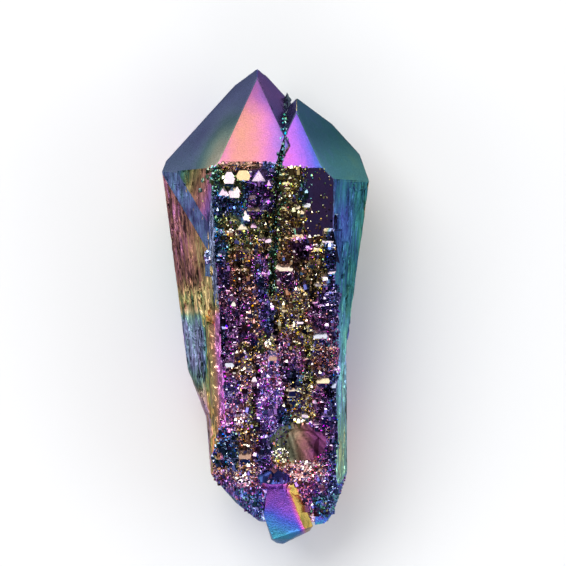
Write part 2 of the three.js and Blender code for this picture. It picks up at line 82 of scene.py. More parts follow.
def fractal(points, cell, seed, octaves=3):
    """Noise in cells of this size, and in ever smaller and weaker ones."""
    points = points / np.array(cell)
    total = np.zeros(len(points))
    for octave in range(octaves):
        total += hash_noise(points * 2 ** octave, seed + octave) * 0.5 ** octave
    return total / OCTAVES_REACH


def smooth(edge0, edge1, x):
    t = np.clip((x - edge0) / (edge1 - edge0), 0, 1)
    return t * t * (3 - 2 * t)


def mix(a, b, f):
    return a * (1 - f) + b * f


def oval(x, y, middle_x, middle_y, half_width, half_height):
    """How far out from the middle of an oval each point lies: 1 on its rim."""
    return np.hypot((x - middle_x) / half_width, (y - middle_y) / half_height)


# ---------------- the crystal's faces
TIP_RISE = math.radians(38.21)    # quartz's tip faces lie at this angle to the long axis
SIN_TIP, COS_TIP = math.sin(TIP_RISE), math.cos(TIP_RISE)
PRISM_STEP = 60                   # degrees from one prism face to the next
MINOR_APEX = (3.06, 19.53, 1.74)
FRONT_LEAN = math.radians(4)


def face(x, y, z, reach):
    """A plane's unit normal and how far out it lies from the middle of the frame."""
    n = np.array([x, y, z], float)
    size = np.linalg.norm(n)
    return n / size, reach / size


def through(x, y, z, px, py, pz):
    """The plane with normal x, y, z through the point px, py, pz."""
    return face(x, y, z, x * px + y * py + z * pz)


def tip_face(azimuth, reach):
    """One of a tip's six faces, counted clockwise from the front one."""
    around = math.radians(PRISM_STEP * azimuth)
    return face(COS_TIP * math.sin(around), SIN_TIP, COS_TIP * math.cos(around), reach)


def minor_tip(azimuth, shift):
    """A tip face of the small crystal, moved out from where it would meet the others in one point."""
    x, y, z = MINOR_APEX
    around = math.radians(PRISM_STEP * azimuth)
    return tip_face(azimuth, SIN_TIP * y + COS_TIP * (x * math.sin(around) + z * math.cos(around)) + shift)


FRONT = through(0, -math.sin(FRONT_LEAN), math.cos(FRONT_LEAN), 0, 13.4, 6.87)
FACES = {
    "front": FRONT,
    "plateau": face(-0.848, 0, 0.53, 7.9),
    "left": face(-0.887, -0.1, 0.45, 6.98),
    "band": face(-1.735, -0.1, 0.98, 14.74),
    "left_back": through(-0.866, -0.132, -0.5, -9.76, 11.4, -0.85),
    "rest": through(0, -SIN_L, -COS_L, 0, 12.64, -7.54),
    "right": face(0.858, -0.053, 0.51, 8.328),
    "right_back": through(0.851, -0.184, -0.491, 9.71, 11.6, 1.2),
    "major_right_back": through(0.866, -0.1, -0.5, 3.22, 12.64, -7.54),
    "minor_back": through(0, -0.08, -1, 3.06, 12.64, -4.06),
    "lower_left": through(-0.92, -0.387, 0.1, -7.54, -5.56, -0.3),
    "major_tip": tip_face(0, 13.73),
    "major_left_tip": tip_face(-1, 14.1),
    "major_right_tip": tip_face(1, 12.96),
    "major_tip_back_l": tip_face(-2, 15.68),
    "major_tip_back_r": tip_face(2, 13.96),
    "major_tip_back": tip_face(3, 14.4),
    "major_flank": face(0.8, 0, 0.6, 5.03),
    "minor_tip": minor_tip(0, 0),
    "minor_right_tip": minor_tip(1, -0.5),
    "minor_left_tip": minor_tip(-1, -0.25),
    "minor_tip_back_r": minor_tip(2, 1.9),
    "minor_tip_back_l": minor_tip(-2, 0.6),
    "minor_tip_back": minor_tip(3, 0.9),
    "root_left": through(-0.997, -0.08, 0.12, -5.56, -9.9, 0),
    "root_left_low": through(-0.68, -0.71, 0.12, -4.71, -16.03, 1),
    "root_bevel_left": through(-0.35, -0.52, 0.78, -3.6, -15.6, 4.2),
    "root_bevel": through(0.05, -0.66, 0.75, 1, -16.6, 4.5),
    "root_right_low": through(0.93, -0.36, 0.1, 7.3, -16.2, 1),
    "root_right": through(0.975, 0.01, 0.22, 7.4, -9, 0.6),
    "root_right_back": through(0.85, 0, -0.53, 7.2, -9, -1),
    "root_left_back": through(-0.8, -0.08, -0.6, -5.3, -12, -1.2),
    "root_under": through(0.1, -0.74, -0.67, 0, -20, -1.6),
}
FACE_NORMALS = np.array([normal for normal, _ in FACES.values()])
FACE_REACH = np.array([reach for _, reach in FACES.values()])
KINDS = [*FACES, "step_tip", "step_side", "root_point", "rough", "bright"]
REGION = {name: number for number, name in enumerate(KINDS)}
NO_FACE = -9      # a score below that of any face


def regions(names):
    return [REGION[name] for name in names.split()]


TIPS = [REGION[name] for name in FACES if "tip" in name]
BACKS = [REGION[name] for name in FACES if name.endswith("_back")]
CRUSTED = regions("front step_side step_tip rough root_bevel root_bevel_left")
STEP_HOSTS = regions("left right left_back right_back major_right_back minor_back")


# (x, y, width, height, film, colour depth) of the large steps that catch the light
BRIGHT_STEPS = [
    (-3.45, 12.1, 0.8, 1.25, 0.33, 0.16), (-2.12, 12.3, 1.05, 1.05, 0.02, 0.45),
    (-0.68, 12.4, 1.3, 1.4, 0.36, 0.18), (-3.95, 10.95, 0.85, 1.2, 0.34, 0.2),
    (-2.95, 10.85, 0.85, 1.4, 0.3, 0.12), (0.25, 11.6, 0.5, 0.65, 0.36, 0.35),
    (-1.25, 10.2, 0.45, 0.45, 0.02, 0.3), (-0.85, 9.1, 1.75, 0.4, 0.03, 0.35),
    (-1.85, 8.55, 0.45, 1, 0.3, 0.08), (-3.05, 8.25, 0.6, 0.5, 0.96, 0.55),
    (-2.2, 7.75, 0.95, 1.15, 0.03, 0.3), (-1.15, 7.6, 0.5, 0.55, 0.34, 0.3),
    (-0.45, 6.4, 0.6, 0.5, 0.34, 0.3), (0.2, 6.2, 0.45, 0.6, 0.33, 0.18), (-2, 5.2, 0.95, 0.28, 0.05, 0.6),
    (-4.15, 4.95, 0.6, 0.5, 0.62, 0.1), (1.75, 3.6, 1.4, 0.65, 0.04, 0.25),
    (6.2, 3.2, 0.7, 0.4, 0.36, 0.15), (5.8, 6.15, 0.95, 0.4, 0.36, 0.12), (2.87, 9.3, 0.5, 0.45, 0.02, 0.3),
    (3.85, 9.45, 0.5, 0.4, 0.6, 0.05), (3.35, 8.85, 0.4, 0.45, 0.02, 0.35),
    (3.45, 8.3, 0.5, 0.3, 0.16, 0.5), (5.5, 2.75, 0.45, 0.45, 0.33, 0.15), (4.9, 2.1, 0.5, 0.5, 0.3, 0.1),
    (4.15, 3.85, 0.6, 0.25, 0.05, 0.4), (3.2, -1.45, 0.55, 0.45, 0.33, 0.15),
    (5.1, -2.65, 1.1, 0.8, 0.62, 0.1), (-3.05, 0.35, 0.35, 0.75, 0.03, 0.15),
    (-1.1, -2.55, 0.65, 0.25, 0.05, 0.4), (0.65, -4.7, 0.65, 0.85, 0.13, 0.4),
    (-3.4, -5.4, 0.7, 0.65, 0.62, 0.1), (-1.65, -5.95, 0.6, 0.4, 0.33, 0.2),
    (-1.1, -6.8, 0.45, 0.7, 0.33, 0.15), (5.35, -6.85, 1.1, 0.8, 0, 0.35),
    (4.95, -7.5, 0.5, 0.6, 0.36, 0.25), (6.45, -7.5, 0.5, 0.4, 0.64, 0.2),
    (2.45, -8.35, 0.65, 0.4, 0.03, 0.2), (2.6, -7.8, 0.95, 0.4, 0.12, 0.45),
    (-2.55, -10.4, 0.65, 0.5, 0.12, 0.5), (3.65, -10.3, 0.6, 0.4, 0.36, 0.15),
    (3.05, -10.65, 0.5, 0.4, 0, 0.3), (4.05, -10.85, 0.5, 0.45, 0.34, 0.2),
    (4.75, -10.95, 0.45, 0.4, 0.33, 0.2), (5.75, -10.1, 1, 0.45, 0.6, 0.12),
    (-4.3, -14.1, 0.45, 0.55, 0.3, 0.05), (-2, -13.95, 1, 0.8, 0.12, 0.4),
]


def bright_step_at(x, y, margin):
    """Which of the large bright steps each point lies on, or -1."""
    which = np.full(np.shape(x), -1)
    for i, (sx, sy, width, height, *_) in enumerate(BRIGHT_STEPS):
        on = (np.abs(x - sx) < width / 2 + margin) & (np.abs(y - sy) < height / 2 + margin)
        which = np.where(on & (which < 0), i, which)
    return which


def below_bright_step(x, y):
    """Whether each point lies on the bare column that runs down from one of the bright steps."""
    on = np.zeros(np.shape(x), bool)
    for sx, sy, width, height, *_ in BRIGHT_STEPS:
        foot = sy - height / 2
        bare = 0.3 + 0.8 * ((7.3 * sx) % 1) if width > 0.6 and sy < 8 else 0.2
        on |= (np.abs(x - sx) < width / 2) & (y < foot) & (y > foot - bare)
    return on


def edge_of_druse(y):
    """Where the glittering front ends on the left, at each height."""
    return -5.15 + 0.062 * (11 - y)


def best_face(score):
    """Which face has the highest score, and whether any has one at all."""
    return score.argmax(axis=1), score.max(axis=1) > NO_FACE


def regions_of(centres, normals):
    """The face each small patch lies on, or the kind of patch it is off the named faces."""
    match = normals @ FACE_NORMALS.T
    gap = np.abs(centres @ FACE_NORMALS.T - FACE_REACH)
    best, flush = best_face(np.where((match > 0.985) & (gap < 0.09), match - gap, NO_FACE))
    # worn edges take after the nearer of their two faces
    near = np.where((gap < 0.06) & (match > 0.8), match, NO_FACE)
    worn = ~flush & ((near > NO_FACE).sum(axis=1) >= 2)
    region = np.where(flush, best, np.where(worn, near.argmax(axis=1), REGION["rough"]))
    off = ~flush & ~worn
    # growth steps on the sides and the back take after the face they stand on
    x, y, z = centres.T
    above = centres @ FACE_NORMALS[STEP_HOSTS].T - FACE_REACH[STEP_HOSTS]
    host, has_host = best_face(np.where(above > -0.35, above, NO_FACE))
    off_front = (z < 1.5) | (x > 6.7) | (x < edge_of_druse(y) - 0.3)
    aside = off & has_host & off_front & (y < 12.6) & (y > -15)
    region[aside] = np.array(STEP_HOSTS)[host[aside]]
    off &= ~aside
    is_tip = off & (normals[:, 1] > 0.3) & (normals[:, 2] > 0.2) & (z > 1)
    is_side = off & (np.abs(normals[:, 1]) < 0.3) & (y > -16) & (z > 1)
    region[is_tip] = REGION["step_tip"]
    region[is_side] = REGION["step_side"]
    shiny = is_tip & (np.abs(normals[:, 0]) < 0.3) & (bright_step_at(x, y, 0.12) >= 0)
    region[shiny] = REGION["bright"]
    region[off & (y < -16.7)] = REGION["root_point"]
    return region


# ---------------- colours of the glittering front
# Film thickness runs in a circle from 0 to 1, and its colour with it: 0 is gold, 0.12 orange, 0.24 rose,
# 0.33 pink, 0.38 orchid, 0.49 violet, 0.56 blue, 0.65 slate, 0.74 teal, 0.85 green, 0.95 olive, 1 gold.
# (x, y, radius x, radius y, film, shade): colours of the columns
FRONT_PATCHES = [
    (-2.4, 13.1, 1.8, 0.3, 0.12, 0.7), (-5.2, 12.3, 0.6, 0.9, 0.83, 1.4), (0.2, 13.1, 0.6, 0.3, 0.62, 0.8),
    (-3.6, 9.4, 0.9, 1.4, 0.6, 0.7), (-3.2, 10.6, 0.9, 1.2, 0.95, 0.7), (-2.2, 9.4, 0.4, 1.6, 0.65, 1.2),
    (-3.4, 8, 0.9, 0.7, 0.95, 1.2), (-3.2, 7, 0.8, 0.6, 0.12, 0.9), (-1.5, 9.4, 0.4, 0.9, 0.4, 0.9),
    (-0.6, 10.2, 1, 1.8, 0.47, 0.6), (-0.6, 7.6, 1.1, 1, 0.95, 0.9), (-4.2, 6.2, 0.6, 1.5, 0.65, 0.9),
    (-2.5, 6.1, 0.9, 0.9, 0.95, 1), (-2.2, 4.2, 1, 1, 0.1, 1.1), (-0.6, 4, 0.5, 1.4, 0.46, 1.4),
    (-0.7, 5.6, 0.7, 0.7, 0.05, 1.2), (0, 3, 0.3, 0.9, 0.36, 1), (-4, 2.5, 0.6, 1.2, 0.45, 0.5),
    (-2.2, 2, 1.1, 1.2, 0.15, 0.9), (-0.4, 2, 0.4, 0.9, 0.56, 0.6), (2.3, 10.6, 0.9, 1.6, 0.97, 0.9),
    (2.7, 7.6, 1, 1.6, 0.01, 0.9), (3.6, 10.6, 0.5, 0.8, 0.7, 0.7), (3.5, 5.8, 1, 0.9, 0.42, 0.35),
    (4.8, 5.6, 0.7, 1.2, 0.02, 0.8), (6.1, 5, 0.6, 1.2, 0.57, 0.5), (2.2, 4.5, 0.9, 0.7, 0.08, 0.8),
    (1.9, 2.4, 0.9, 0.9, 0.36, 0.5), (4, 2.6, 1.1, 1.4, 0.02, 0.9), (5.8, 1, 0.7, 1.2, 0.52, 0.6),
    (-3.8, 0.9, 0.8, 0.8, 0.3, 0.8), (-2.2, 0.2, 0.8, 0.9, 0.36, 0.7), (-1.2, -0.6, 0.6, 0.9, 0.1, 0.9),
    (0.3, -0.9, 0.5, 1, 0.53, 0.9), (2.1, -0.4, 1.2, 1.7, 0.01, 1.2), (2, 1.2, 1, 0.6, 0.1, 1.2),
    (5, -1, 0.9, 1.2, 0.36, 0.7), (-4.3, -2.6, 0.4, 1.8, 0.59, 0.6), (-2.8, -2.4, 0.9, 1.2, 0.38, 0.8),
    (-2.2, -4, 0.7, 0.6, 0.01, 0.8), (0.2, -3.7, 0.6, 0.5, 0.97, 1.2), (1.6, -3.6, 0.6, 1, 0.3, 1.6),
    (2.7, -3.4, 0.5, 1, 0.06, 1.2), (4.1, -3.4, 0.5, 1.3, 0.97, 1.6), (-3.3, -4.3, 0.7, 0.9, 0.36, 0.9),
    (-2.3, -5.4, 0.8, 0.8, 0.07, 1.6), (0.4, -5.9, 0.9, 1.3, 0.3, 3), (2.9, -5.2, 0.8, 0.9, 0.32, 1.3),
    (4.8, -5.4, 0.9, 0.9, 0.2, 0.8), (-2, -6.9, 0.6, 0.6, 0.2, 1.5), (-3, -7.9, 0.8, 0.9, 0.5, 1.8),
    (-2.4, -9.3, 0.8, 0.9, 0.28, 2.4), (-3.5, -10.4, 0.8, 1, 0.29, 3.2), (0.3, -8.6, 0.9, 1.7, 0.42, 3.2),
    (1.7, -10.2, 0.4, 0.9, 0.65, 1), (-1.5, -10.4, 0.4, 1.3, 0.95, 2), (2.7, -6.9, 0.6, 0.6, 0.58, 0.5),
    (3.6, -8.9, 0.8, 1.3, 0.01, 1.7), (3.9, -6.2, 0.6, 0.9, 0.95, 1.4), (2, -8.9, 0.5, 1, 0.08, 1.3),
    (5.2, -8.6, 0.7, 0.9, 0.36, 0.8), (6.4, -9, 0.5, 1.6, 0.57, 0.7), (-3.6, -12.8, 0.7, 1.6, 0.64, 0.9),
    (-1.8, -12.4, 0.9, 1, 0.1, 0.9), (-0.3, -13.4, 0.6, 1.6, 0.5, 0.8), (1.4, -13.9, 0.7, 0.5, 0.99, 3),
    (3.4, -15.2, 1.6, 0.9, 0.22, 2.2), (5.6, -12.6, 0.8, 1.4, 0.4, 0.9), (6.4, -13.6, 0.5, 1.5, 0.58, 0.8),
    (-2.4, -15.6, 1.4, 0.7, 0.14, 2.2), (-2.6, -16.8, 1.6, 0.6, 0.34, 2.6),
    (-2.4, -17.8, 1, 0.5, 0.72, 3.5), (-1, -18.6, 0.7, 0.6, 0.62, 3.5), (5.2, -17, 1, 0.7, 0.34, 3),
    (4.2, -19.2, 0.5, 0.6, 0.3, 3), (5.2, -18.6, 0.6, 0.6, 0.74, 3), (6, -17.6, 0.6, 1.2, 0.64, 2.8),
]
# gaps between the columns of the lower front, painted dark as painted shade: x, y, half width, half height
COLUMN_GAPS = [
    (-1.05, -8, 0.3, 3.4), (1.65, -7.4, 0.28, 2.6), (-1.04, -3.5, 0.34, 0.6), (3.3, -1.9, 0.25, 0.7),
    (3.8, -6, 0.2, 2.2), (-2.6, 2.2, 0.2, 2.4), (0.95, -1.8, 0.2, 1.6), (4.3, 1, 0.2, 2),
    (3.3, 4.8, 0.5, 0.8), (2.5, -7.2, 0.3, 0.6), (-3.1, -5.9, 0.32, 0.4), (-4.25, -3.2, 0.35, 2.6),
    (5.9, -7.6, 0.3, 0.9), (-2.3, -1.9, 0.3, 0.5), (6.4, 7, 0.4, 3), (0.05, 7, 0.18, 2.5),
]
PATCH_WARP = np.array([0.28, 0.5])    # how far the patches' edges stray, in mm
# how much painted shade darkens the gaps between the columns
GAP_PAINTED_SHADE = 0.88
SHADOW_FILM = 0.53                    # the dark facets between the bright ones are violet
# the groove down the middle: how far right it lies at each height
GROOVE_Y = [0.9, 2.4, 4.2, 6.1, 8.0, 9.8, 11.5, 13.2]
GROOVE_X = [0.4, 0.66, 0.6, 0.92, 0.82, 1.14, 1.0, 1.3]
GROOVE_FILM, GROOVE_SHADE = 0.87, 0.8
# lines in the satin hollow fan out from this point above it
FAN_X, FAN_Y = 1.2, -8.8
# the pocket under the hollow, painted dark as painted shade in the recess: middle, half width and half height
POCKET = (0.6, -16.3, 1.7, 1.1)


def front_colour(p):
    """Film and shade on the glittering front, blended between the patches, with painted shade in the gaps
    between the columns.
    """
    warp = np.stack([hash_noise(p / 0.8, 5), hash_noise(p / 1.2, 6)], 1) * PATCH_WARP
    at_x, at_y = (p[:, :2] + warp).T
    angle_x = np.zeros(len(p))
    angle_y = np.zeros(len(p))
    shade = np.zeros(len(p))
    total = np.full(len(p), 1e-9)
    for x, y, rx, ry, film, patch_shade in FRONT_PATCHES:
        w = 1 / (0.08 + ((at_x - x) / rx) ** 2 + ((at_y - y) / ry) ** 2) ** 3
        total += w
        angle_x += w * math.cos(2 * math.pi * film)
        angle_y += w * math.sin(2 * math.pi * film)
        shade += w * patch_shade
    film = np.arctan2(angle_y, angle_x) / (2 * math.pi)
    shade = shade / total
    # painted shade in the gaps between the columns
    for x, y, rx, ry in COLUMN_GAPS:
        inside = smooth(1.3, 0.8, np.abs(at_x - x) / rx) * smooth(1.2, 0.8, np.abs(at_y - y) / ry)
        shade *= 1 - GAP_PAINTED_SHADE * inside
    off_groove = np.abs(p[:, 0] - np.interp(p[:, 1], GROOVE_Y, GROOVE_X))
    groove = (smooth(0.5, 0.3, off_groove) > 0.5) & (p[:, 1] > GROOVE_Y[0])
    return np.where(groove, GROOVE_FILM, film % 1.0), np.where(groove, GROOVE_SHADE, shade)


def above_front(p):
    """How far each point stands out of the front's plane, in mm."""
    return p @ FRONT[0] - FRONT[1]


def sunk_shade(p):
    """How much of the light reaches each point of the front; less between the columns."""
    return 0.6 + 0.4 * smooth(-0.3, 0.4, above_front(p))


def fan_lines(x, y):
    """Noise in lines that fan out over the satin hollow."""
    turn = np.arctan2(x - FAN_X, FAN_Y - y)
    reach = np.hypot(x - FAN_X, y - FAN_Y)
    return hash_noise(np.stack([26 * turn, 0.5 * reach, 0 * x], 1), 83)


def pits_at(p):
    """How deep in a pit each point of a streaky side lies, from 0 to 1; it sinks the surface there and sets
    the painted shade in the pits.
    """
    where = smooth(-0.25, 0.35, fractal(p, (1.6, 3.4, 1.6), 61, 2))
    return smooth(0.15, 0.42, fractal(p, (0.2, 0.55, 0.2), 47)) * where


# ---------------- the film, face by face
class Coat:
    """The film over an array of points in the crystal frame, each on the face `region`.

    It has four values at each point: film is its thickness, shade how bright it is, depth how strong its
    colour and grain how rough it is. chance is a random number from 0 to 1, one for each facet."""

    def __init__(self, p, region, chance):
        self.p = p
        self.region = region
        self.chance = chance
        self.x, self.y, self.z = p.T
        self.cloud = fractal(p, 3.0, 11)
        self.fine = fractal(p, 0.8, 17)
        self.streak = fractal(p, (0.35, 2.6, 0.35), 23)
        self.pit = pits_at(p)
        self.on_front = (np.isin(region, CRUSTED) | self.on("major_flank")) & (self.z > 0.5)
        self.film = 0.6 + 0.10 * self.cloud
        self.shade = np.full(len(p), 0.4)
        self.depth = np.full(len(p), 0.85)
        self.grain = np.full(len(p), 0.3)

    def on(self, names):
        """Which points lie on the named faces or kinds of patch."""
        return np.isin(self.region, regions(names))

    def paint(self, here, **values):
        """Set some of the four where `here` holds, each to one number or to one for each point."""
        for name, value in values.items():
            getattr(self, name)[here] = value[here] if isinstance(value, np.ndarray) else value

    def face(self, names, film, shade, depth, grain):
        self.paint(self.on(names), film=film, shade=shade, depth=depth, grain=grain)


def paint_tips(coat):
    x, y, cloud = coat.x, coat.y, coat.cloud
    # the large front one: orange in the lower left corner, then pink, then violet at the edges
    film = 0.19 + 0.052 * np.maximum(x + 2.2, 0) ** 1.3 + 0.08 * smooth(-2.6, -3.9, x)
    film += 0.02 * cloud + 0.02 * coat.fine + 0.15 * smooth(17.5, 20.5, y)
    coat.face("major_tip", film, 0.69 - 0.26 * smooth(17, 20.5, y), 0.80, 1.1)
    # the small front one: pink, then violet to the right
    from_seam = np.maximum(x - 1.6 + 0.25 * (y - 13.3), 0)
    coat.face("minor_tip", 0.385 + 0.020 * from_seam ** 2 + 0.02 * cloud, 0.8, 0.9, 1.0)
    # the left one: slate and blue, olive along the edge of the front one
    from_edge = -0.935 * (x + 4.5) + 0.353 * (y - 13.3)
    olive = smooth(2.6, 0.3, from_edge) * smooth(20.0, 14.5, y)
    bands = 0.5 + 0.5 * np.sin(2.4 * (y - 0.75 * x) + 1.2 * cloud)
    film = 0.63 + 0.05 * smooth(17, 12.5, y) + 0.26 * olive + 0.03 * cloud
    shade = (0.26 + 0.05 * bands + 0.09 * smooth(17, 13, y)) * (1 + 1.2 * olive)
    coat.face("major_left_tip", film, shade, 0.56 - 0.24 * olive, 0.6)
    # both sides of the valley are violet and blue, the right one teal and painted brighter lower down: a
    # painted reflection of the pale floor
    coat.face("major_right_tip", 0.54 - 0.06 * smooth(16, 20, y) + 0.05 * cloud, 0.26, 0.7, 0.5)
    coat.face("minor_left_tip", 0.58 + 0.08 * cloud, 0.30, 0.6, 0.5)
    film = 0.73 + 0.05 * smooth(4.5, 8, x) + 0.03 * cloud
    coat.face("minor_right_tip", film, 0.32 + 0.34 * smooth(16.5, 12.5, y), 0.75, 0.5)


def paint_plateau(coat):
    """The upper left plateau: a blue corner, gold, rose, violet; the bevel band under it is blue."""
    x, fine, streak = coat.x, coat.fine, coat.streak
    film = 0.62 + (0.175 * (x + 8.86) + 0.07 * (12.35 - coat.y)) + 0.05 * fine
    coat.face("plateau", film % 1.0, 0.34 * (1 + 0.5 * fine + 0.3 * streak), 0.75, 0.9)
    corner = smooth(-6.6, -8.4, x)
    # darker in the pits: painted shade
    shade = (0.38 + 0.14 * corner) * (1 - 0.7 * coat.pit) * (1 + 0.9 * fine)
    coat.face("band", 0.62 + 0.03 * corner + 0.08 * fine + 0.08 * streak, shade, 0.7, 0.8)


def paint_right(coat):
    """The right side: teal with a violet patch, blue and green further down, where it and the root's right
    faces are painted brighter: a painted reflection of the pale floor.
    """
    x, y, cloud, streak, pit = coat.x, coat.y, coat.cloud, coat.streak, coat.pit
    patch = np.exp(-((x - 7.4) / 1.1) ** 2 - ((y - 7.6) / 2.6) ** 2)
    film = 0.72 - 0.13 * patch + 0.05 * smooth(7.3, 8.3, x - 0.05 * (y - 10)) + 0.09 * smooth(-7, -13, y)
    # brighter further down: a painted reflection of the pale floor; darker in the pits: painted shade
    shade = (0.48 + 1.0 * smooth(3, -7, y)) * (1 - 0.75 * pit) * (1 + 0.8 * streak)
    depth = 0.9 - 0.2 * smooth(4, -8, y)
    coat.face("right", film + 0.05 * streak + 0.03 * cloud - 0.12 * pit, shade, depth, 0.7)
    # the root's right faces are painted bright: a painted reflection of the pale floor
    coat.face("root_right", film - 0.03 + 0.06 * streak + 0.03 * cloud, 1.6 * (1 + 0.6 * streak), 0.65, 0.7)
    coat.face("root_right_low", 0.74 + 0.12 * streak, 1.4 * (1 + 0.7 * streak), 0.75, 0.7)


def paint_hidden(coat):
    """The sides that the picture doesn't show: slow bands of colour."""
    y, cloud, streak = coat.y, coat.cloud, coat.streak
    # darker in the pits: painted shade
    shade = 0.5 * (1 - 0.5 * coat.pit)
    film = 0.28 + 0.045 * (y + 8) + 0.12 * cloud + 0.05 * streak
    coat.face("left_back root_left_back", film % 1.0, shade, 0.85, 0.5)
    film = 0.66 + 0.03 * y + 0.14 * cloud + 0.05 * streak
    coat.face("right_back major_right_back root_right_back minor_back", film % 1.0, shade, 0.85, 0.5)
    coat.face("rest", (0.40 + 0.035 * y + 0.16 * cloud) % 1.0, shade, 0.8, 0.5)
    coat.face("major_tip_back minor_tip_back", 0.58 + 0.05 * (y - 15) + 0.05 * cloud, 0.5, 0.85, 0.6)
    coat.face("major_tip_back_l minor_tip_back_l", 0.32 + 0.05 * (y - 13) + 0.06 * cloud, 0.5, 0.85, 0.6)
    coat.face("major_tip_back_r minor_tip_back_r", 0.68 + 0.04 * (y - 13) + 0.06 * cloud, 0.5, 0.85, 0.6)


def paint_front(coat):
    """The front and its steps: facets in the local colour, and violet ones in the gaps between them; a few
    facets and the steps' tips painted brighter as glints, and painted shade between the columns.
    """
    chance = coat.chance
    film, shade = front_colour(coat.p)
    violet = (chance < 0.5) & (chance > np.where(coat.y > 2, 0.35, 0))
    facet_film = np.where(violet, SHADOW_FILM + 0.1 * coat.cloud, film + 0.1 * (chance - 0.75))
    # painted light: a few facets painted much brighter as glints, and painted shade where the front sinks
    # between the columns
    light = (0.3 + 1.8 * chance ** 4) * sunk_shade(coat.p)
    coat.paint(coat.on_front, film=facet_film, shade=shade * light, depth=0.7)
    # the tip faces of the steps are painted brighter: painted glints
    tops = coat.on("step_tip") & (coat.z > 1.5)
    coat.paint(tops, film=film, shade=0.4 + 0.8 * chance, depth=0.55, grain=0.15)


def paint_left(coat):
    """The left side: rose and gold above; an orchid rim with olive and slate streaks below."""
    x, y, cloud, streak, pit = coat.x, coat.y, coat.cloud, coat.streak, coat.pit
    inner = smooth(2.9, 4.6, 0.45 * coat.z - 0.3 * x + 0.9 * streak)
    beyond = edge_of_druse(np.maximum(y, -11)) - x + 0.25 * streak
    beyond += 0.45 * fractal(coat.p, (0.7, 3.5, 0.7), 29, 2) * smooth(0.3, 1.0, beyond)
    lower = np.interp(beyond, [0, 0.4, 0.65, 1.0, 1.3, 1.65], [0.38, 0.36, 0.14, 0.0, -0.08, -0.36])
    lower = mix(lower, 0.30, smooth(1.1, 1.7, beyond) * smooth(-5.5, -9.5, y + 1.5 * cloud))
    below = smooth(0.2, -1.2, y + 0.5 * cloud)
    gold = np.exp(-((y + 0.8 * cloud - 0.6) / 1.8) ** 2)
    film = mix(mix(0.23 - 0.28 * inner, lower, below), -0.04, gold)
    film = (film + 0.13 * streak + 0.05 * coat.fine + 0.15 * pit) % 1.0
    # darker in the pits: painted shade
    shade = (mix(mix(0.27, 0.44, inner), 0.68, below) + 0.30 * gold) * (1 - 0.9 * pit)
    shade *= np.clip(1 + 1.2 * streak, 0.2, 2)
    depth = mix(0.76, np.interp(beyond, [0.4, 1.3, 1.7], [0.8, 0.9, 0.5]), below)
    coat.face("left lower_left root_left", film, shade, depth, 0.7)
    film = (0.62 + 0.25 * streak + 0.1 * cloud) % 1.0
    # darker in the pits: painted shade
    coat.face("root_left_low", film, 0.6 * (1 - 0.5 * pit), 0.75, 0.8)
    # the steps that stand along the druse's left edge
    rim = coat.on_front & (x < edge_of_druse(y) + 0.05) & (y > -12) & (y < 11)
    shade = mix(0.6, 1.1, below) * (1 + 0.6 * streak)
    film = mix(-0.37, lower, below) + 0.06 * streak
    coat.paint(rim, film=film, shade=shade, depth=mix(0.5, 0.75, below), grain=0.3)


def paint_steps(coat):
    """The bare columns under the large bright steps, those steps and the plum facet at the upper right."""
    x, y, cloud, fine = coat.x, coat.y, coat.cloud, coat.fine
    bare = coat.on_front & below_bright_step(x + 0.12 * fine, y + 0.3 * fine)
    coat.paint(bare, film=0.55 + 0.12 * cloud + 0.08 * fine, shade=0.22 + 0.12 * coat.streak, depth=0.95)
    looks = np.array([(film, depth) for *_, film, depth in BRIGHT_STEPS])
    film, depth = looks[bright_step_at(x, y, 0.25)].T
    orange = np.abs(film - 0.125) < 0.01
    coat.face("bright", film, np.where(orange, 0.4, 0.8), 1.5 * depth, 0.1)
    plum = coat.on("front") & (x > 2.9) & (y > 6.0)
    coat.paint(plum, film=0.49 + 0.06 * cloud + 0.05 * fine, shade=0.24 + 0.06 * fine, depth=0.75)


def paint_hollow(coat):
    """The satin hollow, olive with lines that fan out and magenta on its right, and the pocket, navy and
    violet, painted dark as shade in the recess.
    """
    x, y, fine = coat.x, coat.y, coat.fine
    hollow = coat.on_front & (oval(x, y, 3.1, -12.9, 2.7, 2.0) < 1 + 0.1 * fine)
    across = smooth(1.4, 4.8, x + 0.8 * fine)
    shade = mix(0.34, 0.26, across) * np.clip(1 + 0.8 * (fan_lines(x, y) + 0.5 * fine), 0.2, 3)
    coat.paint(hollow, film=mix(0.90, 1.36, across), shade=shade, depth=mix(0.4, 0.9, across), grain=1.6)
    # the pocket: its own navy and violet film, painted dark as shade in the recess
    pocket = coat.on_front & (oval(x, y, *POCKET) < 1) & (above_front(coat.p) < -0.02)
    film = 0.60 - 0.08 * smooth(0.5, 2.0, x) + 0.08 * smooth(-0.2, -0.8, x)
    coat.paint(pocket, film=film, shade=0.35, depth=0.9)


def paint_seam(coat):
    """The seam between the two crystals: teal and grey rubble, painted darker towards the top as painted
    shade in the notch between the tips.
    """
    x, y, chance = coat.x, coat.y, coat.chance
    seam = coat.on("step_side step_tip rough") & (y > 12.6) & (x > 0.4) & (x < 2.6)
    # darker towards the top: painted shade in the notch between the tips
    shade = (0.45 + 0.7 * chance) * (1 - 0.7 * smooth(16.5, 18, y))
    coat.paint(seam, film=0.70 + 0.16 * (chance - 0.5), shade=shade, depth=0.45)


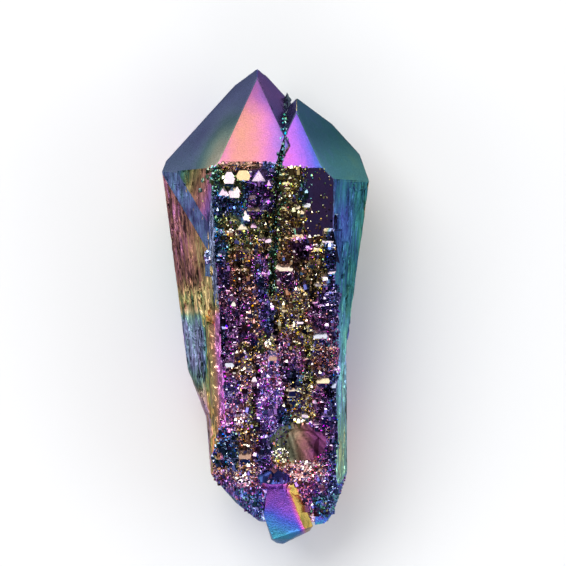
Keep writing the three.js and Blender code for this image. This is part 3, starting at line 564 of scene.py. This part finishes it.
def paint_root(coat):
    """The root crystal: violet with pink edges, blue then cyan to its lower left, gold on its right side."""
    x, y, chance, streak = coat.x, coat.y, coat.chance, coat.streak
    gold_from = 2.0 + 0.372 * (-16.6 - y)
    gold_to = 3.0 + 0.432 * (-17.3 - y)
    down = (x - 2.0) * 0.32 + (y + 18.2) * 0.95
    film = 0.47 + 0.25 * smooth(-0.4, -3.6, down) - 0.12 * smooth(0.6, 1.6, down)
    film = mix(film, 0.30, smooth(gold_from - 0.6, gold_from, x))
    film = mix(film, 0.30, smooth(0.15, -0.3, x) * smooth(-19.2, -18.4, y))
    film = np.where(x > gold_from, 1.0 + 0.06 * streak, film)
    film = np.where(x > gold_to, 0.30 + 0.25 * (chance - 0.5), film)
    shade = np.where(x > gold_from, 0.70 + 0.6 * streak, 0.54 + 0.30 * smooth(-18, -20, y))
    shade = np.where(x > gold_to, 0.6 + 0.8 * chance, shade)
    root = coat.on("root_point")
    coat.paint(root, film=film + 0.03 * coat.fine, shade=shade, depth=0.95, grain=0.5)
    beside = root & ((x > 4.55) | (x < -0.4))
    coat.paint(beside, film=0.66 + 0.22 * streak + 0.1 * (chance - 0.5), shade=0.6 + 0.8 * chance)


PAINTERS = [
    paint_tips, paint_plateau, paint_right, paint_hidden, paint_front, paint_left, paint_steps, paint_hollow,
    paint_seam, paint_root,
]


# ---------------- materials
# film thickness and its colour as seen, in display values
FILM_COLOURS = [
    (0, (0.9, 0.76, 0.36)), (0.07, (0.86, 0.62, 0.26)), (0.15, (0.93, 0.56, 0.34)),
    (0.24, (0.95, 0.5, 0.52)), (0.33, (0.93, 0.42, 0.74)), (0.41, (0.78, 0.36, 0.88)),
    (0.5, (0.5, 0.3, 0.86)), (0.58, (0.26, 0.34, 0.84)), (0.67, (0.22, 0.5, 0.8)), (0.76, (0.2, 0.6, 0.62)),
    (0.85, (0.36, 0.66, 0.48)), (0.93, (0.66, 0.68, 0.3)), (1, (0.9, 0.76, 0.36)),
]


def linear(colour):
    """A display colour as the linear values that shaders take."""
    return tuple(c / 12.92 if c <= 0.04045 else ((c + 0.055) / 1.055) ** 2.4 for c in colour)


class Nodes:
    """A small helper that adds shader nodes."""

    def __init__(self, tree):
        self.tree = tree

    def fill(self, node, inputs):
        """Link each input to a socket, or set it to a value."""
        for name, value in inputs.items():
            if isinstance(value, bpy.types.NodeSocket):
                self.tree.links.new(value, node.inputs[name])
            else:
                node.inputs[name].default_value = value

    def add(self, kind, inputs, **settings):
        node = self.tree.nodes.new(kind)
        node.location = (60 * len(self.tree.nodes), 0)
        for name, value in settings.items():
            setattr(node, name, value)
        self.fill(node, inputs)
        return node

    def math(self, operation, *values, clamp=False):
        inputs = dict(enumerate(values))
        return self.add("ShaderNodeMath", inputs, operation=operation, use_clamp=clamp).outputs[0]

    def plus(self, a, b):
        return self.math("ADD", a, b)

    def minus(self, a, b):
        return self.math("SUBTRACT", a, b)

    def times(self, a, b):
        return self.math("MULTIPLY", a, b)

    def attribute(self, name):
        return self.add("ShaderNodeAttribute", {}, attribute_name=name).outputs["Fac"]

    def noise(self, where, cells, detail):
        """Noise with this many cells to the metre, or with another number of them along each axis."""
        if isinstance(cells, tuple):
            where = self.add("ShaderNodeMapping", {"Vector": where, "Scale": cells}).outputs["Vector"]
            cells = 1.0
        inputs = {"Vector": where, "Scale": cells, "Detail": detail}
        return self.add("ShaderNodeTexNoise", inputs).outputs["Fac"]

    def ramp(self, position, stops):
        """The colour at a position among (position, colour) stops."""
        node = self.add("ShaderNodeValToRGB", {"Fac": position})
        elements = node.color_ramp.elements
        for index, (place, colour) in enumerate(stops):
            stop = elements[index] if index < 2 else elements.new(place)
            stop.position = place
            stop.color = (*colour, 1.0)
        return node.outputs["Color"]


# cells of noise to the metre; growth lines and pit strokes are long cells along y
CLOUDS, SPECKLE, SATIN = 900.0, 9000.0, 7000.0
BROAD_LINES = (2600.0, 320.0, 2600.0)
OTHER_LINES = (3100.0, 260.0, 3100.0)
THIN_LINES = (5200.0, 420.0, 5200.0)
RELIEF_LINES = (6500.0, 900.0, 6500.0)
STROKES = (4300.0, 1300.0, 4300.0)
CROWDS = (700.0, 260.0, 700.0)


def wandering_film(nodes, where, streaks, wander):
    """The film attribute, let wander over a millimetre or so and along the growth lines."""
    drift = nodes.plus(nodes.noise(where, CLOUDS, 3.0), nodes.noise(where, BROAD_LINES, 3.0))
    film = nodes.plus(nodes.attribute("film"), nodes.minus(nodes.times(drift, wander), wander))
    lines = nodes.minus(nodes.noise(where, OTHER_LINES, 2.0), 0.5)
    return nodes.math("FRACT", nodes.plus(film, nodes.times(lines, nodes.times(streaks, 0.45))))


def pit_strokes(nodes, where, streaks):
    """Short pit strokes, in crowds, on streaky faces: 0 between them and 0.8 inside; they sink the relief and
    are painted dark as painted shade.
    """
    crowd = nodes.minus(nodes.noise(where, CROWDS, 1.0), 0.5)
    level = nodes.minus(nodes.plus(nodes.noise(where, STROKES, 1.0), crowd), 0.62)
    return nodes.times(nodes.math("MULTIPLY", level, 12.0, clamp=True), nodes.times(streaks, 0.8))


def brightness(nodes, where, streaks, speckle, pits):
    """The shade attribute, with speckles and thin lines in it, and painted shade in the pits."""
    lines = nodes.times(nodes.minus(nodes.noise(where, THIN_LINES, 2.0), 0.5), nodes.times(streaks, 3.0))
    lines = nodes.math("MAXIMUM", nodes.plus(lines, 1.0), 0.15)
    speckled = nodes.times(nodes.attribute("shade"), nodes.plus(nodes.times(speckle, 0.8), 0.6))
    return nodes.times(nodes.times(speckled, lines), nodes.minus(1.0, pits))


def aura_material(name, wander, bump_size, smoothest, roughest):
    """Quartz under an iridescent film: the film attribute picks the colour, and noise lets it wander."""
    material = bpy.data.materials.new(name)
    material.use_nodes = True
    nodes = Nodes(material.node_tree)
    where = nodes.add("ShaderNodeTexCoord", {}).outputs["Object"]
    streaks = nodes.attribute("streaks")
    grain = nodes.attribute("grain")
    speckle = nodes.noise(where, SPECKLE, 2.0)
    pits = pit_strokes(nodes, where, streaks)
    colours = [(place, linear(colour)) for place, colour in FILM_COLOURS]
    tint = nodes.add("ShaderNodeHueSaturation", {
        "Color": nodes.ramp(wandering_film(nodes, where, streaks, wander), colours),
        "Saturation": nodes.attribute("depth"),
        "Value": brightness(nodes, where, streaks, speckle, pits),
    })
    # satin where the face is grainy
    spread = nodes.times(nodes.times(grain, roughest - smoothest), nodes.plus(speckle, 0.4))
    # relief: fine satin grain, thin growth lines and the pits
    satin = nodes.times(nodes.noise(where, SATIN, 2.0), 0.6)
    relief = nodes.plus(satin, nodes.times(nodes.noise(where, RELIEF_LINES, 2.0), 0.4))
    height = nodes.minus(nodes.times(relief, grain), pits)
    bump = nodes.add("ShaderNodeBump", {"Strength": 0.8, "Distance": bump_size, "Height": height})
    nodes.fill(material.node_tree.nodes["Principled BSDF"], {
        "Base Color": tint.outputs["Color"],
        "Metallic": 0.9,
        "Specular Tint": (0.35, 0.35, 0.45, 1.0),
        "Roughness": nodes.plus(spread, smoothest),
        "Normal": bump.outputs["Normal"],
    })
    return material


face_material = aura_material("aura_faces", 0.05, 0.00006, 0.16, 0.38)
druse_material = aura_material("aura_druse", 0.05, 0.00001, 0.10, 0.25)


# ---------------- meshes
def paint_mesh(mesh, domain, **values):
    """Store values on a mesh, under the names that the materials read, one for each item of the domain."""
    for name, numbers in values.items():
        layer = mesh.attributes.new(name, "FLOAT", domain)
        layer.data.foreach_set("value", np.asarray(numbers, np.float32))


def new_mesh(name, points, sides, corners):
    """A mesh from points in the crystal frame; `sides` holds how many corners each face has."""
    mesh = bpy.data.meshes.new(name)
    mesh.vertices.add(len(points))
    mesh.vertices.foreach_set("co", to_world(points).astype(np.float32).ravel())
    mesh.loops.add(len(corners))
    mesh.loops.foreach_set("vertex_index", np.asarray(corners, np.int32))
    mesh.polygons.add(len(sides))
    starts = np.concatenate([[0], np.cumsum(sides)[:-1]])
    mesh.polygons.foreach_set("loop_start", starts.astype(np.int32))
    mesh.update(calc_edges=True)
    return mesh


def points_of(mesh):
    """The points of a mesh, in the crystal frame."""
    places = np.zeros(len(mesh.vertices) * 3)
    mesh.vertices.foreach_get("co", places)
    return to_crystal(places.reshape(-1, 3))


def add_piece(name, mesh, material):
    mesh.name = name
    piece = bpy.data.objects.new(name, mesh)
    bpy.context.scene.collection.objects.link(piece)
    mesh.materials.append(material)
    return piece


# ---------------- the body
def welded(mesh):
    """The points of a mesh in the crystal frame, doubled points joined, and its triangles."""
    mesh.calc_loop_triangles()
    corners = np.zeros(len(mesh.loop_triangles) * 3, np.int64)
    mesh.loop_triangles.foreach_get("vertices", corners)
    points = points_of(mesh)
    _, first, same = np.unique(np.round(points, 4), axis=0, return_index=True, return_inverse=True)
    faces = same.ravel()[corners].reshape(-1, 3)
    whole = (faces != np.roll(faces, 1, axis=1)).all(axis=1)
    return points[first], faces[whole]


def normals_of(points, faces):
    """Normal and doubled area of every triangle."""
    a, b, c = (points[faces[:, k]] for k in range(3))
    cross = np.cross(b - a, c - a)
    area = np.linalg.norm(cross, axis=1)
    return cross / np.maximum(area, 1e-12)[:, None], area


def edges_of(faces, count):
    """Which edge each side of each triangle lies on, and the two ends of every edge."""
    others = np.roll(faces, -1, axis=1)
    keys = np.minimum(faces, others) * count + np.maximum(faces, others)
    keys, which = np.unique(keys, return_inverse=True)
    return which.reshape(-1, 3), np.stack([keys // count, keys % count], axis=1)


# the longest side of a triangle on each face, in mm
LONGEST_SIDE = np.full(len(KINDS), 0.40)
LONGEST_SIDE[CRUSTED] = 0.325
LONGEST_SIDE[BACKS + regions("root_under")] = 0.5
LONGEST_SIDE[TIPS + regions("rest bright")] = 0.8
# how strong the growth lines and pits are on each face
STREAKY = np.zeros(len(KINDS))
STREAKY[regions("left right root_right lower_left root_left root_left_low")] = 1.0
STREAKY[BACKS + regions("plateau band root_right_low")] = 0.6
STREAKY[TIPS] = 0
DARKEST = 0.03
MOST_ROUNDS = 24                # of cutting triangles
NEARLY_LONGEST = 0.7            # sides that come this close to the longest one beside them are cut with it
CHIPPED_FOLD = 0.42             # edges that turn more than this, in radians, have chips
SHARP_FOLD = math.radians(24)   # and edges that turn more than this are shaded sharp


def refine(points, faces, region):
    """Cut the triangles until no side is longer than its face allows."""
    for _ in range(MOST_ROUNDS):
        which, ends = edges_of(faces, len(points))
        length = np.linalg.norm(points[ends[:, 0]] - points[ends[:, 1]], axis=1)
        sides = np.bincount(which.ravel())
        limit = np.bincount(which.ravel(), np.repeat(LONGEST_SIDE[region], 3)) / sides
        longest = np.zeros(len(ends))
        np.maximum.at(longest, which.ravel(), np.repeat(length[which].max(axis=1), 3))
        cut = (length > limit) & (length > NEARLY_LONGEST * longest)
        if not cut.any():
            break
        middle = np.full(len(ends), -1)
        middle[cut] = len(points) + np.arange(cut.sum())
        points = np.vstack([points, points[ends[cut]].mean(axis=1)])
        marks = middle[which]
        number = (marks >= 0).sum(axis=1)
        turn = np.where(number == 1, (marks >= 0).argmax(axis=1), 0)
        turn = np.where(number == 2, ((marks < 0).argmax(axis=1) + 1) % 3, turn)
        order = (turn[:, None] + np.arange(3)) % 3
        a, b, c = np.take_along_axis(faces, order, 1).T
        ab, bc, ca = np.take_along_axis(marks, order, 1).T
        pieces = [
            (0, a, b, c), (1, a, ab, c), (1, ab, b, c), (2, ab, b, bc), (2, a, ab, bc), (2, a, bc, c),
            (3, a, ab, ca), (3, ab, b, bc), (3, ca, bc, c), (3, ab, bc, ca),
        ]
        faces = np.vstack([np.stack([p, q, r], 1)[number == k] for k, p, q, r in pieces])
        region = np.concatenate([region[number == k] for k, *_ in pieces])
    return points, faces, region


def sharp_points(normals, faces, count):
    """Which points lie on a folded edge."""
    which, ends = edges_of(faces, count)
    one, other = np.zeros(len(ends), int), np.zeros(len(ends), int)
    face_of_side = np.repeat(np.arange(len(faces)), 3)
    one[which.ravel()] = face_of_side
    other[which.ravel()[::-1]] = face_of_side[::-1]
    folded = (normals[one] * normals[other]).sum(axis=1) < math.cos(CHIPPED_FOLD)
    sharp = np.zeros(count, bool)
    sharp[ends[folded].ravel()] = True
    return sharp


def shaped(points, faces, region):
    """The points moved for streaks on the sides, small facets on the front and chips along the edges."""
    normals, area = normals_of(points, faces)
    count = len(points)
    corner = faces.ravel()
    pull = np.repeat(normals * area[:, None], 3, axis=0)
    out = np.stack([np.bincount(corner, pull[:, k], count) for k in range(3)], 1)
    out /= np.maximum(np.linalg.norm(out, axis=1), 1e-12)[:, None]
    streaky = np.ones(count)
    np.minimum.at(streaky, corner, np.repeat(STREAKY[region], 3))
    crusted = np.bincount(corner, np.repeat(~np.isin(region, CRUSTED), 3), count) == 0
    lines = fractal(points, (0.22, 1.3, 0.22), 41)
    broad = fractal(points, (0.7, 3.0, 0.7), 53)
    depth = streaky * (0.05 * lines + 0.06 * broad - 0.20 * pits_at(points))
    # the plum facet and the hollows have no small facets, and neither has the rim of a bright step
    x, y, z = points.T
    hollow = (oval(x, y, 3.1, -12.9, 2.6, 1.7) < 1) | (oval(x, y, *POCKET) < 1)
    depth = np.where(crusted & hollow, 0.05 * fan_lines(x, y), depth)
    rough = crusted & ~((x > 3.0) & (y > 6.2)) & ~hollow & (z > -2)
    rough &= (bright_step_at(x, y, 0.03) < 0) & ~below_bright_step(x, y)
    facets = 0.055 * hash_noise(points / 0.12, 71) + 0.03 * hash_noise(points / 0.3, 72)
    depth = np.where(rough, facets, depth)
    sharp = sharp_points(normals, faces, count) & ~crusted
    chips = smooth(0.0, 0.7, fractal(points, 0.35, 59)) * 0.05
    depth = np.where(sharp, np.minimum(depth, 0) - chips, depth)
    # nothing stands out of the face that the crystal rests on
    resting = REGION["rest"]
    level = points @ FACE_NORMALS[resting] > FACE_REACH[resting] - 0.02
    depth[level] = np.minimum(depth[level], 0) * 0.3
    return points + out * depth[:, None]


def finished_body():
    points, faces = welded(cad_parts["crystal"].data)
    normals, _ = normals_of(points, faces)
    points, faces, region = refine(points, faces, regions_of(points[faces].mean(axis=1), normals))
    points = shaped(points, faces, region)
    mesh = new_mesh("crystal_body", points, np.full(len(faces), 3), faces.ravel())
    chance = np.random.default_rng(7).random(len(faces))
    coat = Coat(points[faces.ravel()], np.repeat(region, 3), np.repeat(chance, 3))
    for painter in PAINTERS:
        painter(coat)
    # film thickness runs in a circle, so the corners of one facet are kept on the same turn
    film = coat.film + np.round(np.repeat(coat.film[::3], 3) - coat.film)
    shade = np.maximum(coat.shade, DARKEST)
    paint_mesh(mesh, "CORNER", film=film, shade=shade, depth=coat.depth, grain=coat.grain)
    paint_mesh(mesh, "FACE", streaks=STREAKY[region] * np.where(region == REGION["right"], 0.5, 1.0))
    mesh.polygons.foreach_set("use_smooth", ~np.isin(region, CRUSTED + regions("bright")))
    mesh.set_sharp_from_angle(angle=SHARP_FOLD)
    return mesh


body = add_piece("crystal_body", finished_body(), face_material)


# ---------------- the druse
def tree_of(mesh):
    points = [Vector(p) for p in points_of(mesh).tolist()]
    return BVHTree.FromPolygons(points, [tuple(p.vertices) for p in mesh.polygons])


cad_tree = tree_of(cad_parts["crystal"].data)
body_tree = tree_of(body.data)
DOWN = Vector((0, 0, -1))

# faces of one small crystal over its ten corners: three sides, three tip faces, the back and the foot
SHAPES = [
    (0, 1, 5, 4), (1, 2, 6, 5), (3, 0, 4, 7), (4, 5, 9, 8), (5, 6, 9), (7, 4, 8),
    (7, 8, 9, 6), (3, 7, 6, 2), (0, 3, 2, 1),
]
IS_TIP = np.array([0, 0, 0, 1, 1, 1, 0, 0, 0])
FILM_SHIFT = np.array([0.0, 0.05, -0.05, 0.0, 0.08, -0.06, 0.0, 0.0, 0.0])
# how bright each face of a small crystal is painted: the tip faces brightest, as painted glints, the back and
# the foot darkest
PAINTED_LIGHT_BY_FACE = np.array([1.0, 0.9, 0.9, 1.6, 1.2, 1.2, 0.8, 0.8, 0.8])
BRIGHTEST = 1.8
SIDE_DEPTH = 0.8          # how strong the colour is on the sides and the back
DRUSE_GRAIN = 0.3
HEXAGON = 0.866           # how deep a half prism is, for each unit of its half width
TIP_SLOPE = 0.787         # the tangent of quartz's 38.2 degrees


def small_crystals(foot, axes, wide, length, ridge):
    """One mesh of small crystals: half prisms with a tip of three faces."""
    n = len(foot)
    wide, low, ridge = wide[:, None], -length[:, None], ridge[:, None]
    deep = HEXAGON * wide
    zero = np.zeros((n, 1))
    # (across, up, out) for the ten corners: four round the foot, four round the shoulder and two on the ridge
    ring = ((-wide / 2, zero), (wide / 2, zero), (wide, -deep), (-wide, -deep))
    corners = [(x, low, z) for x, z in ring] + [(x, zero, z) for x, z in ring]
    corners += [(-ridge, deep / TIP_SLOPE, -deep), (ridge, deep / TIP_SLOPE, -deep)]
    corners = np.stack([np.hstack(corner) for corner in corners], axis=1)
    points = foot[:, None, :]
    for number, axis in enumerate(axes):
        points = points + corners[:, :, number:number + 1] * axis[:, None, :]
    order = np.concatenate(SHAPES) + corners.shape[1] * np.arange(n)[:, None]
    mesh = new_mesh("druse", points.reshape(-1, 3), np.tile([len(s) for s in SHAPES], n), order.ravel())
    mesh.shade_flat()
    return mesh


def orient(rng, n, wobble, lean):
    """Axes for n small crystals that grow nearly parallel to the large ones; lean tips them off the front."""
    out = np.tile(np.array([0.0, 0.0, 1.0]), (n, 1))
    up = np.array([-0.1, 0.0, 1.0]) * lean[:, None] + np.array([0.0, 1.0, 0.0])
    up = up + rng.normal(0, 1, (n, 3)) * wobble[:, None]
    up /= np.linalg.norm(up, axis=1)[:, None]
    across = np.cross(up, out)
    across += rng.normal(0, 1, (n, 3)) * wobble[:, None]
    across -= (across * up).sum(1)[:, None] * up
    across /= np.linalg.norm(across, axis=1)[:, None]
    return across, up, np.cross(across, up)


# places where the small crystals are larger, lean towards the light and are painted brighter and paler as
# painted glints: x, y, half width, half height, how much wider
SPARKLES = [
    (1.3, -13.9, 0.8, 0.55, 0.06), (3.6, -15, 0.9, 0.35, 0.07), (5.2, -16.7, 0.5, 0.5, 0.09),
    (-2.5, -10.6, 0.5, 0.6, 0.08), (-2.1, -16.4, 0.8, 0.6, 0.07), (-3.4, -16.2, 0.3, 0.3, 0.07),
    (-5.45, 4.6, 0.22, 0.6, 0.09), (-7.5, 7.4, 0.2, 0.3, 0.05), (-6.1, 10.9, 0.15, 0.15, 0.08),
    (-5.9, 11.9, 0.12, 0.15, 0.05), (-7.3, 12.7, 0.3, 0.25, 0.05), (-0.9, 5.4, 0.3, 0.3, 0.07),
    (5.6, 2.4, 0.3, 0.5, 0.1), (0.2, -3.6, 0.4, 0.3, 0.07), (-3.3, -17.4, 0.35, 0.5, 0.05),
    (-1.7, -18.4, 0.5, 0.3, 0.05), (6.75, -6.1, 0.15, 0.25, 0.08), (6.6, -13.2, 0.15, 0.25, 0.08),
    (5.4, -18.6, 0.3, 0.3, 0.05), (4.2, -18.9, 0.25, 0.4, 0.05), (5.2, -6.4, 0.35, 0.3, 0.14),
    (3.1, -10.7, 0.45, 0.25, 0.12), (4.4, -10.9, 0.4, 0.22, 0.12), (5.7, -9.9, 0.35, 0.25, 0.12),
    (4.9, 5.7, 0.5, 0.12, 0.1), (3.3, 8.6, 0.4, 0.3, 0.1), (-3.3, 7, 0.3, 0.2, 0.08),
    (6.2, 5.6, 0.3, 0.15, 0.1),
]
SPARKLE_LEAN = 0.38       # tips them towards the light overhead
# how bright the sparkling crystals are painted: painted glints
SPARKLE_PAINTED_GLINT = 2.0
SEAM_FILM, SEAM_SHADE = 0.78, 0.9


def growth_at(x, y):
    """How much wider the small crystals are at each place; 0 off the sparkling places."""
    wider = np.zeros(np.shape(x))
    for *place, extra in SPARKLES:
        wider = np.where(oval(x, y, *place) < 1, extra, wider)
    return wider


def on_druse(x, y, luck):
    """Whether a small crystal grows at each place; luck is random, from 0 to 1."""
    left = np.where(y > -10, edge_of_druse(y), -4.2 - 0.22 * (-10 - y)) + 0.25 * luck
    right = np.where(y > 2, 6.55, 6.9) - 0.3 * luck
    grows = ((x > left) & (x < right) & (y < 13.08)) | (y < -14.5)
    grows |= (np.hypot(x + 4.9, y - 12.4) < 0.7) & (luck > 0.55)
    seam = np.abs(x - np.interp(y, [13, 19.5], [1.3, 1.86])) < np.interp(y, [13, 19.5], [0.42, 0.12])
    grows |= (y > 13) & (y < 18) & seam
    # a few stand on the smooth plum facet and in the dark pocket, and more in the left half of the hollow
    plum = (x > 3.1 + 0.9 * luck) & (y > 6.1 + 0.6 * luck) & (y < 13.2)
    in_pocket = oval(x, y, 0.8, -16.3, 1.5, 0.9) < 1
    in_hollow = oval(x, y, 2.9, -12.8, 2.8, 1.8) < 1
    grows &= ~((plum | in_pocket) & (luck < 0.97))
    grows &= ~(in_hollow & ((luck < 0.8) | (x >= 2.2)))
    grows &= ~(below_bright_step(x + 0.3 * (luck - 0.5), y) & (luck < 0.6))
    grows |= (growth_at(x, y) > 0) & (luck > 0.3)
    on_root_crystal = (x > -0.4) & (x < 3.1 + 0.432 * (-17.3 - y)) & (y < -16.6)
    return grows & ~on_root_crystal


def take_root(rng, count, low_y, high_y):
    """Places on the finished body for up to `count` small crystals, and how wide each of them is."""
    tries = count * 3
    x = rng.uniform(-6.2, 7.6, tries)
    y = rng.uniform(low_y, high_y, tries)
    width = 0.055 + 0.09 * rng.random(tries) ** 2
    width = np.where(rng.random(tries) < 0.10, width * rng.uniform(1.4, 2.3, tries), width)
    wider = growth_at(x, y)
    width = np.where(wider > 0, 0.7 * width + wider, width)
    grows = on_druse(x, y, rng.random(tries)) & (bright_step_at(x, y - width * 0.6, 0.08) < 0)
    off_tips = (rng.random(tries) < 0.8) & (x > -5)
    kept = []
    feet = []
    for i in np.flatnonzero(grows):
        above = Vector((x[i], y[i], 12))
        hit, normal, _, _ = cad_tree.ray_cast(above, DOWN)
        if hit is None or hit.z < -1.0 or abs(normal.x) > 0.93 or (normal.y > 0.42 and off_tips[i]):
            continue
        kept.append(i)
        feet.append(body_tree.ray_cast(above, DOWN)[0] or hit)
        if len(kept) == count:
            break
    return np.array(feet), width[kept]


def front_druse(count, seed, low_y, high_y):
    """A mesh of small crystals on the front between two heights."""
    rng = np.random.default_rng(seed)
    feet, width = take_root(rng, count, low_y, high_y)
    n = len(feet)
    x, y, _ = feet.T
    wobble = np.where(rng.random(n) < 0.2, 0.32, 0.12)
    sparkle = (growth_at(x, y) > 0) | (rng.random(n) < 0.06)
    axes = orient(rng, n, wobble, np.where(sparkle, SPARKLE_LEAN, 0.0))
    foot = feet + axes[2] * (width * rng.uniform(0.1, 0.6, n))[:, None]
    # each takes its colour from a spot near its foot, and a few take any colour
    film, shade = front_colour(feet + rng.normal(0, 1, (n, 3)) * np.array([0.10, 0.25, 0]))
    up_seam = y > 13.2
    film = np.where(up_seam, SEAM_FILM, film) + rng.normal(0, 0.05, n)
    film = np.where(rng.random(n) < np.where(y > 1, 0.07, 0.05), rng.uniform(0, 1, n), film)
    shade = np.where(sparkle, SPARKLE_PAINTED_GLINT, np.where(up_seam, SEAM_SHADE, shade))
    # the tip faces are painted bright: painted glints, brighter still on the larger crystals
    bright = 1.1 * shade * sunk_shade(feet) * np.exp(rng.normal(-0.15, 0.8, n))
    bright *= np.where(width > 0.15, 1.8, 1)
    length = width * rng.uniform(1.0, 2.0, n)
    mesh = small_crystals(foot, axes, width, length, width * rng.uniform(0, 0.45, n))
    # large crystals and those at the sparkling places are painted paler, for whiter painted glints
    pale = (rng.random(n) < 0.12) | (width > 0.19) | sparkle
    depth = np.where(pale, 0.5, rng.uniform(0.8, 1.2, n))
    like_tip = rng.random(n) < np.where(y > 2, 0.88, 0.7)
    side_film = np.where(like_tip, film + 0.04, SHADOW_FILM) + rng.normal(0, 0.04, n)
    # the sides are painted dark: painted shade
    side_shade = 0.15 * shade * np.exp(rng.normal(0, 0.6, n))
    # the values of every face of every crystal: one for its tip faces, painted bright as glints, another for
    # its sides, painted dark as shade
    film = np.where(IS_TIP, film[:, None], side_film[:, None]) + FILM_SHIFT
    shade = np.where(IS_TIP, bright[:, None], side_shade[:, None]) * PAINTED_LIGHT_BY_FACE
    depth = np.where(IS_TIP, depth[:, None], SIDE_DEPTH)
    paint_mesh(mesh, "FACE", film=film.ravel() % 1.0, shade=np.minimum(shade.ravel(), BRIGHTEST),
               depth=depth.ravel(), grain=np.full(film.size, DRUSE_GRAIN))
    return mesh


upper = front_druse(count=9500, seed=3, low_y=1.5, high_y=19.3)
lower = front_druse(count=11500, seed=4, low_y=-19.8, high_y=1.5)
druse_upper = add_piece("druse_upper", upper, druse_material)
druse_lower = add_piece("druse_lower", lower, druse_material)

for piece in (body, druse_upper, druse_lower):
    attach(piece, "root")
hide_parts("crystal")

# ---------------- floor
FLOOR_HALF = 1.6
floor_material = bpy.data.materials.new("pale_floor")
floor_material.use_nodes = True
floor_shader = floor_material.node_tree.nodes["Principled BSDF"]
floor_shader.inputs["Base Color"].default_value = (0.80, 0.80, 0.80, 1)
floor_shader.inputs["Roughness"].default_value = 0.9
floor_mesh = bpy.data.meshes.new("floor")
floor_corners = [(x * FLOOR_HALF, y * FLOOR_HALF, 0) for x, y in ((-1, -1), (1, -1), (1, 1), (-1, 1))]
floor_mesh.from_pydata(floor_corners, [], [(0, 1, 2, 3)])
floor = add_piece("floor", floor_mesh, floor_material)

# ---------------- light
# the studio's walls and ceiling by the height of the direction, from pale at the horizon to dark overhead
SKY = [
    (0.0, (0.90, 0.91, 0.94)), (0.55, (0.80, 0.81, 0.84)),
    (0.80, (0.40, 0.41, 0.43)), (0.93, (0.10, 0.10, 0.12)),
]
world = bpy.data.worlds.new("studio")
bpy.context.scene.world = world
world.use_nodes = True
sky_nodes = Nodes(world.node_tree)
direction = sky_nodes.add("ShaderNodeTexCoord", {}).outputs["Generated"]
height = sky_nodes.add("ShaderNodeSeparateXYZ", {"Vector": direction}).outputs["Z"]
sky_nodes.fill(world.node_tree.nodes["Background"], {"Color": sky_nodes.ramp(height, SKY), "Strength": 1.0})

LIT_PLACE = Vector((0, 0, 0.008))


def area_light(name, place, width, height, watts, colour=(1, 1, 1)):
    """A soft light of width by height metres that faces the crystal."""
    data = bpy.data.lights.new(name, "AREA")
    data.shape = "RECTANGLE"
    data.size = width
    data.size_y = height
    data.energy = watts
    data.color = colour
    light = bpy.data.objects.new(name, data)
    light.location = place
    light.rotation_euler = (LIT_PLACE - Vector(place)).to_track_quat("-Z", "Y").to_euler()
    bpy.context.scene.collection.objects.link(light)


area_light("window", (0.0, 0.62, 0.34), 0.7, 0.55, 1.3, (1.0, 0.98, 0.97))
area_light("high", (-0.35, 0.40, 0.75), 0.7, 0.6, 5.0)
area_light("fill_left", (-0.62, -0.10, 0.34), 0.5, 0.4, 0.9)
area_light("fill_right", (0.62, -0.10, 0.34), 0.5, 0.4, 1.1)
area_light("fill_near", (0.0, -0.62, 0.34), 0.5, 0.4, 1.2)

# ---------------- camera
# It looks straight down on the front face, from the picture's own angle.
PICTURE_SIDE = 566        # pixels
PIXEL = 0.0939            # mm on the crystal
MIDDLE_X, MIDDLE_Y = 266, 306     # where the middle of the crystal's own frame is in the picture
SURFACE_Z = 4.0           # the height in that frame that the camera aims at
DISTANCE = 1.6
SENSOR = 36.0

camera_data = bpy.data.cameras.new("camera")
camera_data.sensor_width = SENSOR
camera_data.lens = SENSOR * DISTANCE / (PICTURE_SIDE * PIXEL * MM)
camera_data.clip_start = 0.01
camera = bpy.data.objects.new("camera", camera_data)
aim = to_world([(PICTURE_SIDE / 2 - MIDDLE_X) * PIXEL, (MIDDLE_Y - PICTURE_SIDE / 2) * PIXEL, SURFACE_Z])
camera.location = aim + TURN @ np.array([0, 0, DISTANCE])
camera.rotation_euler = (REST_LEAN, 0, 0)
bpy.context.scene.collection.objects.link(camera)
bpy.context.scene.camera = camera
bpy.context.scene.view_settings.view_transform = "Standard"

# ---------------- last update of the scene
bpy.context.view_layer.update()
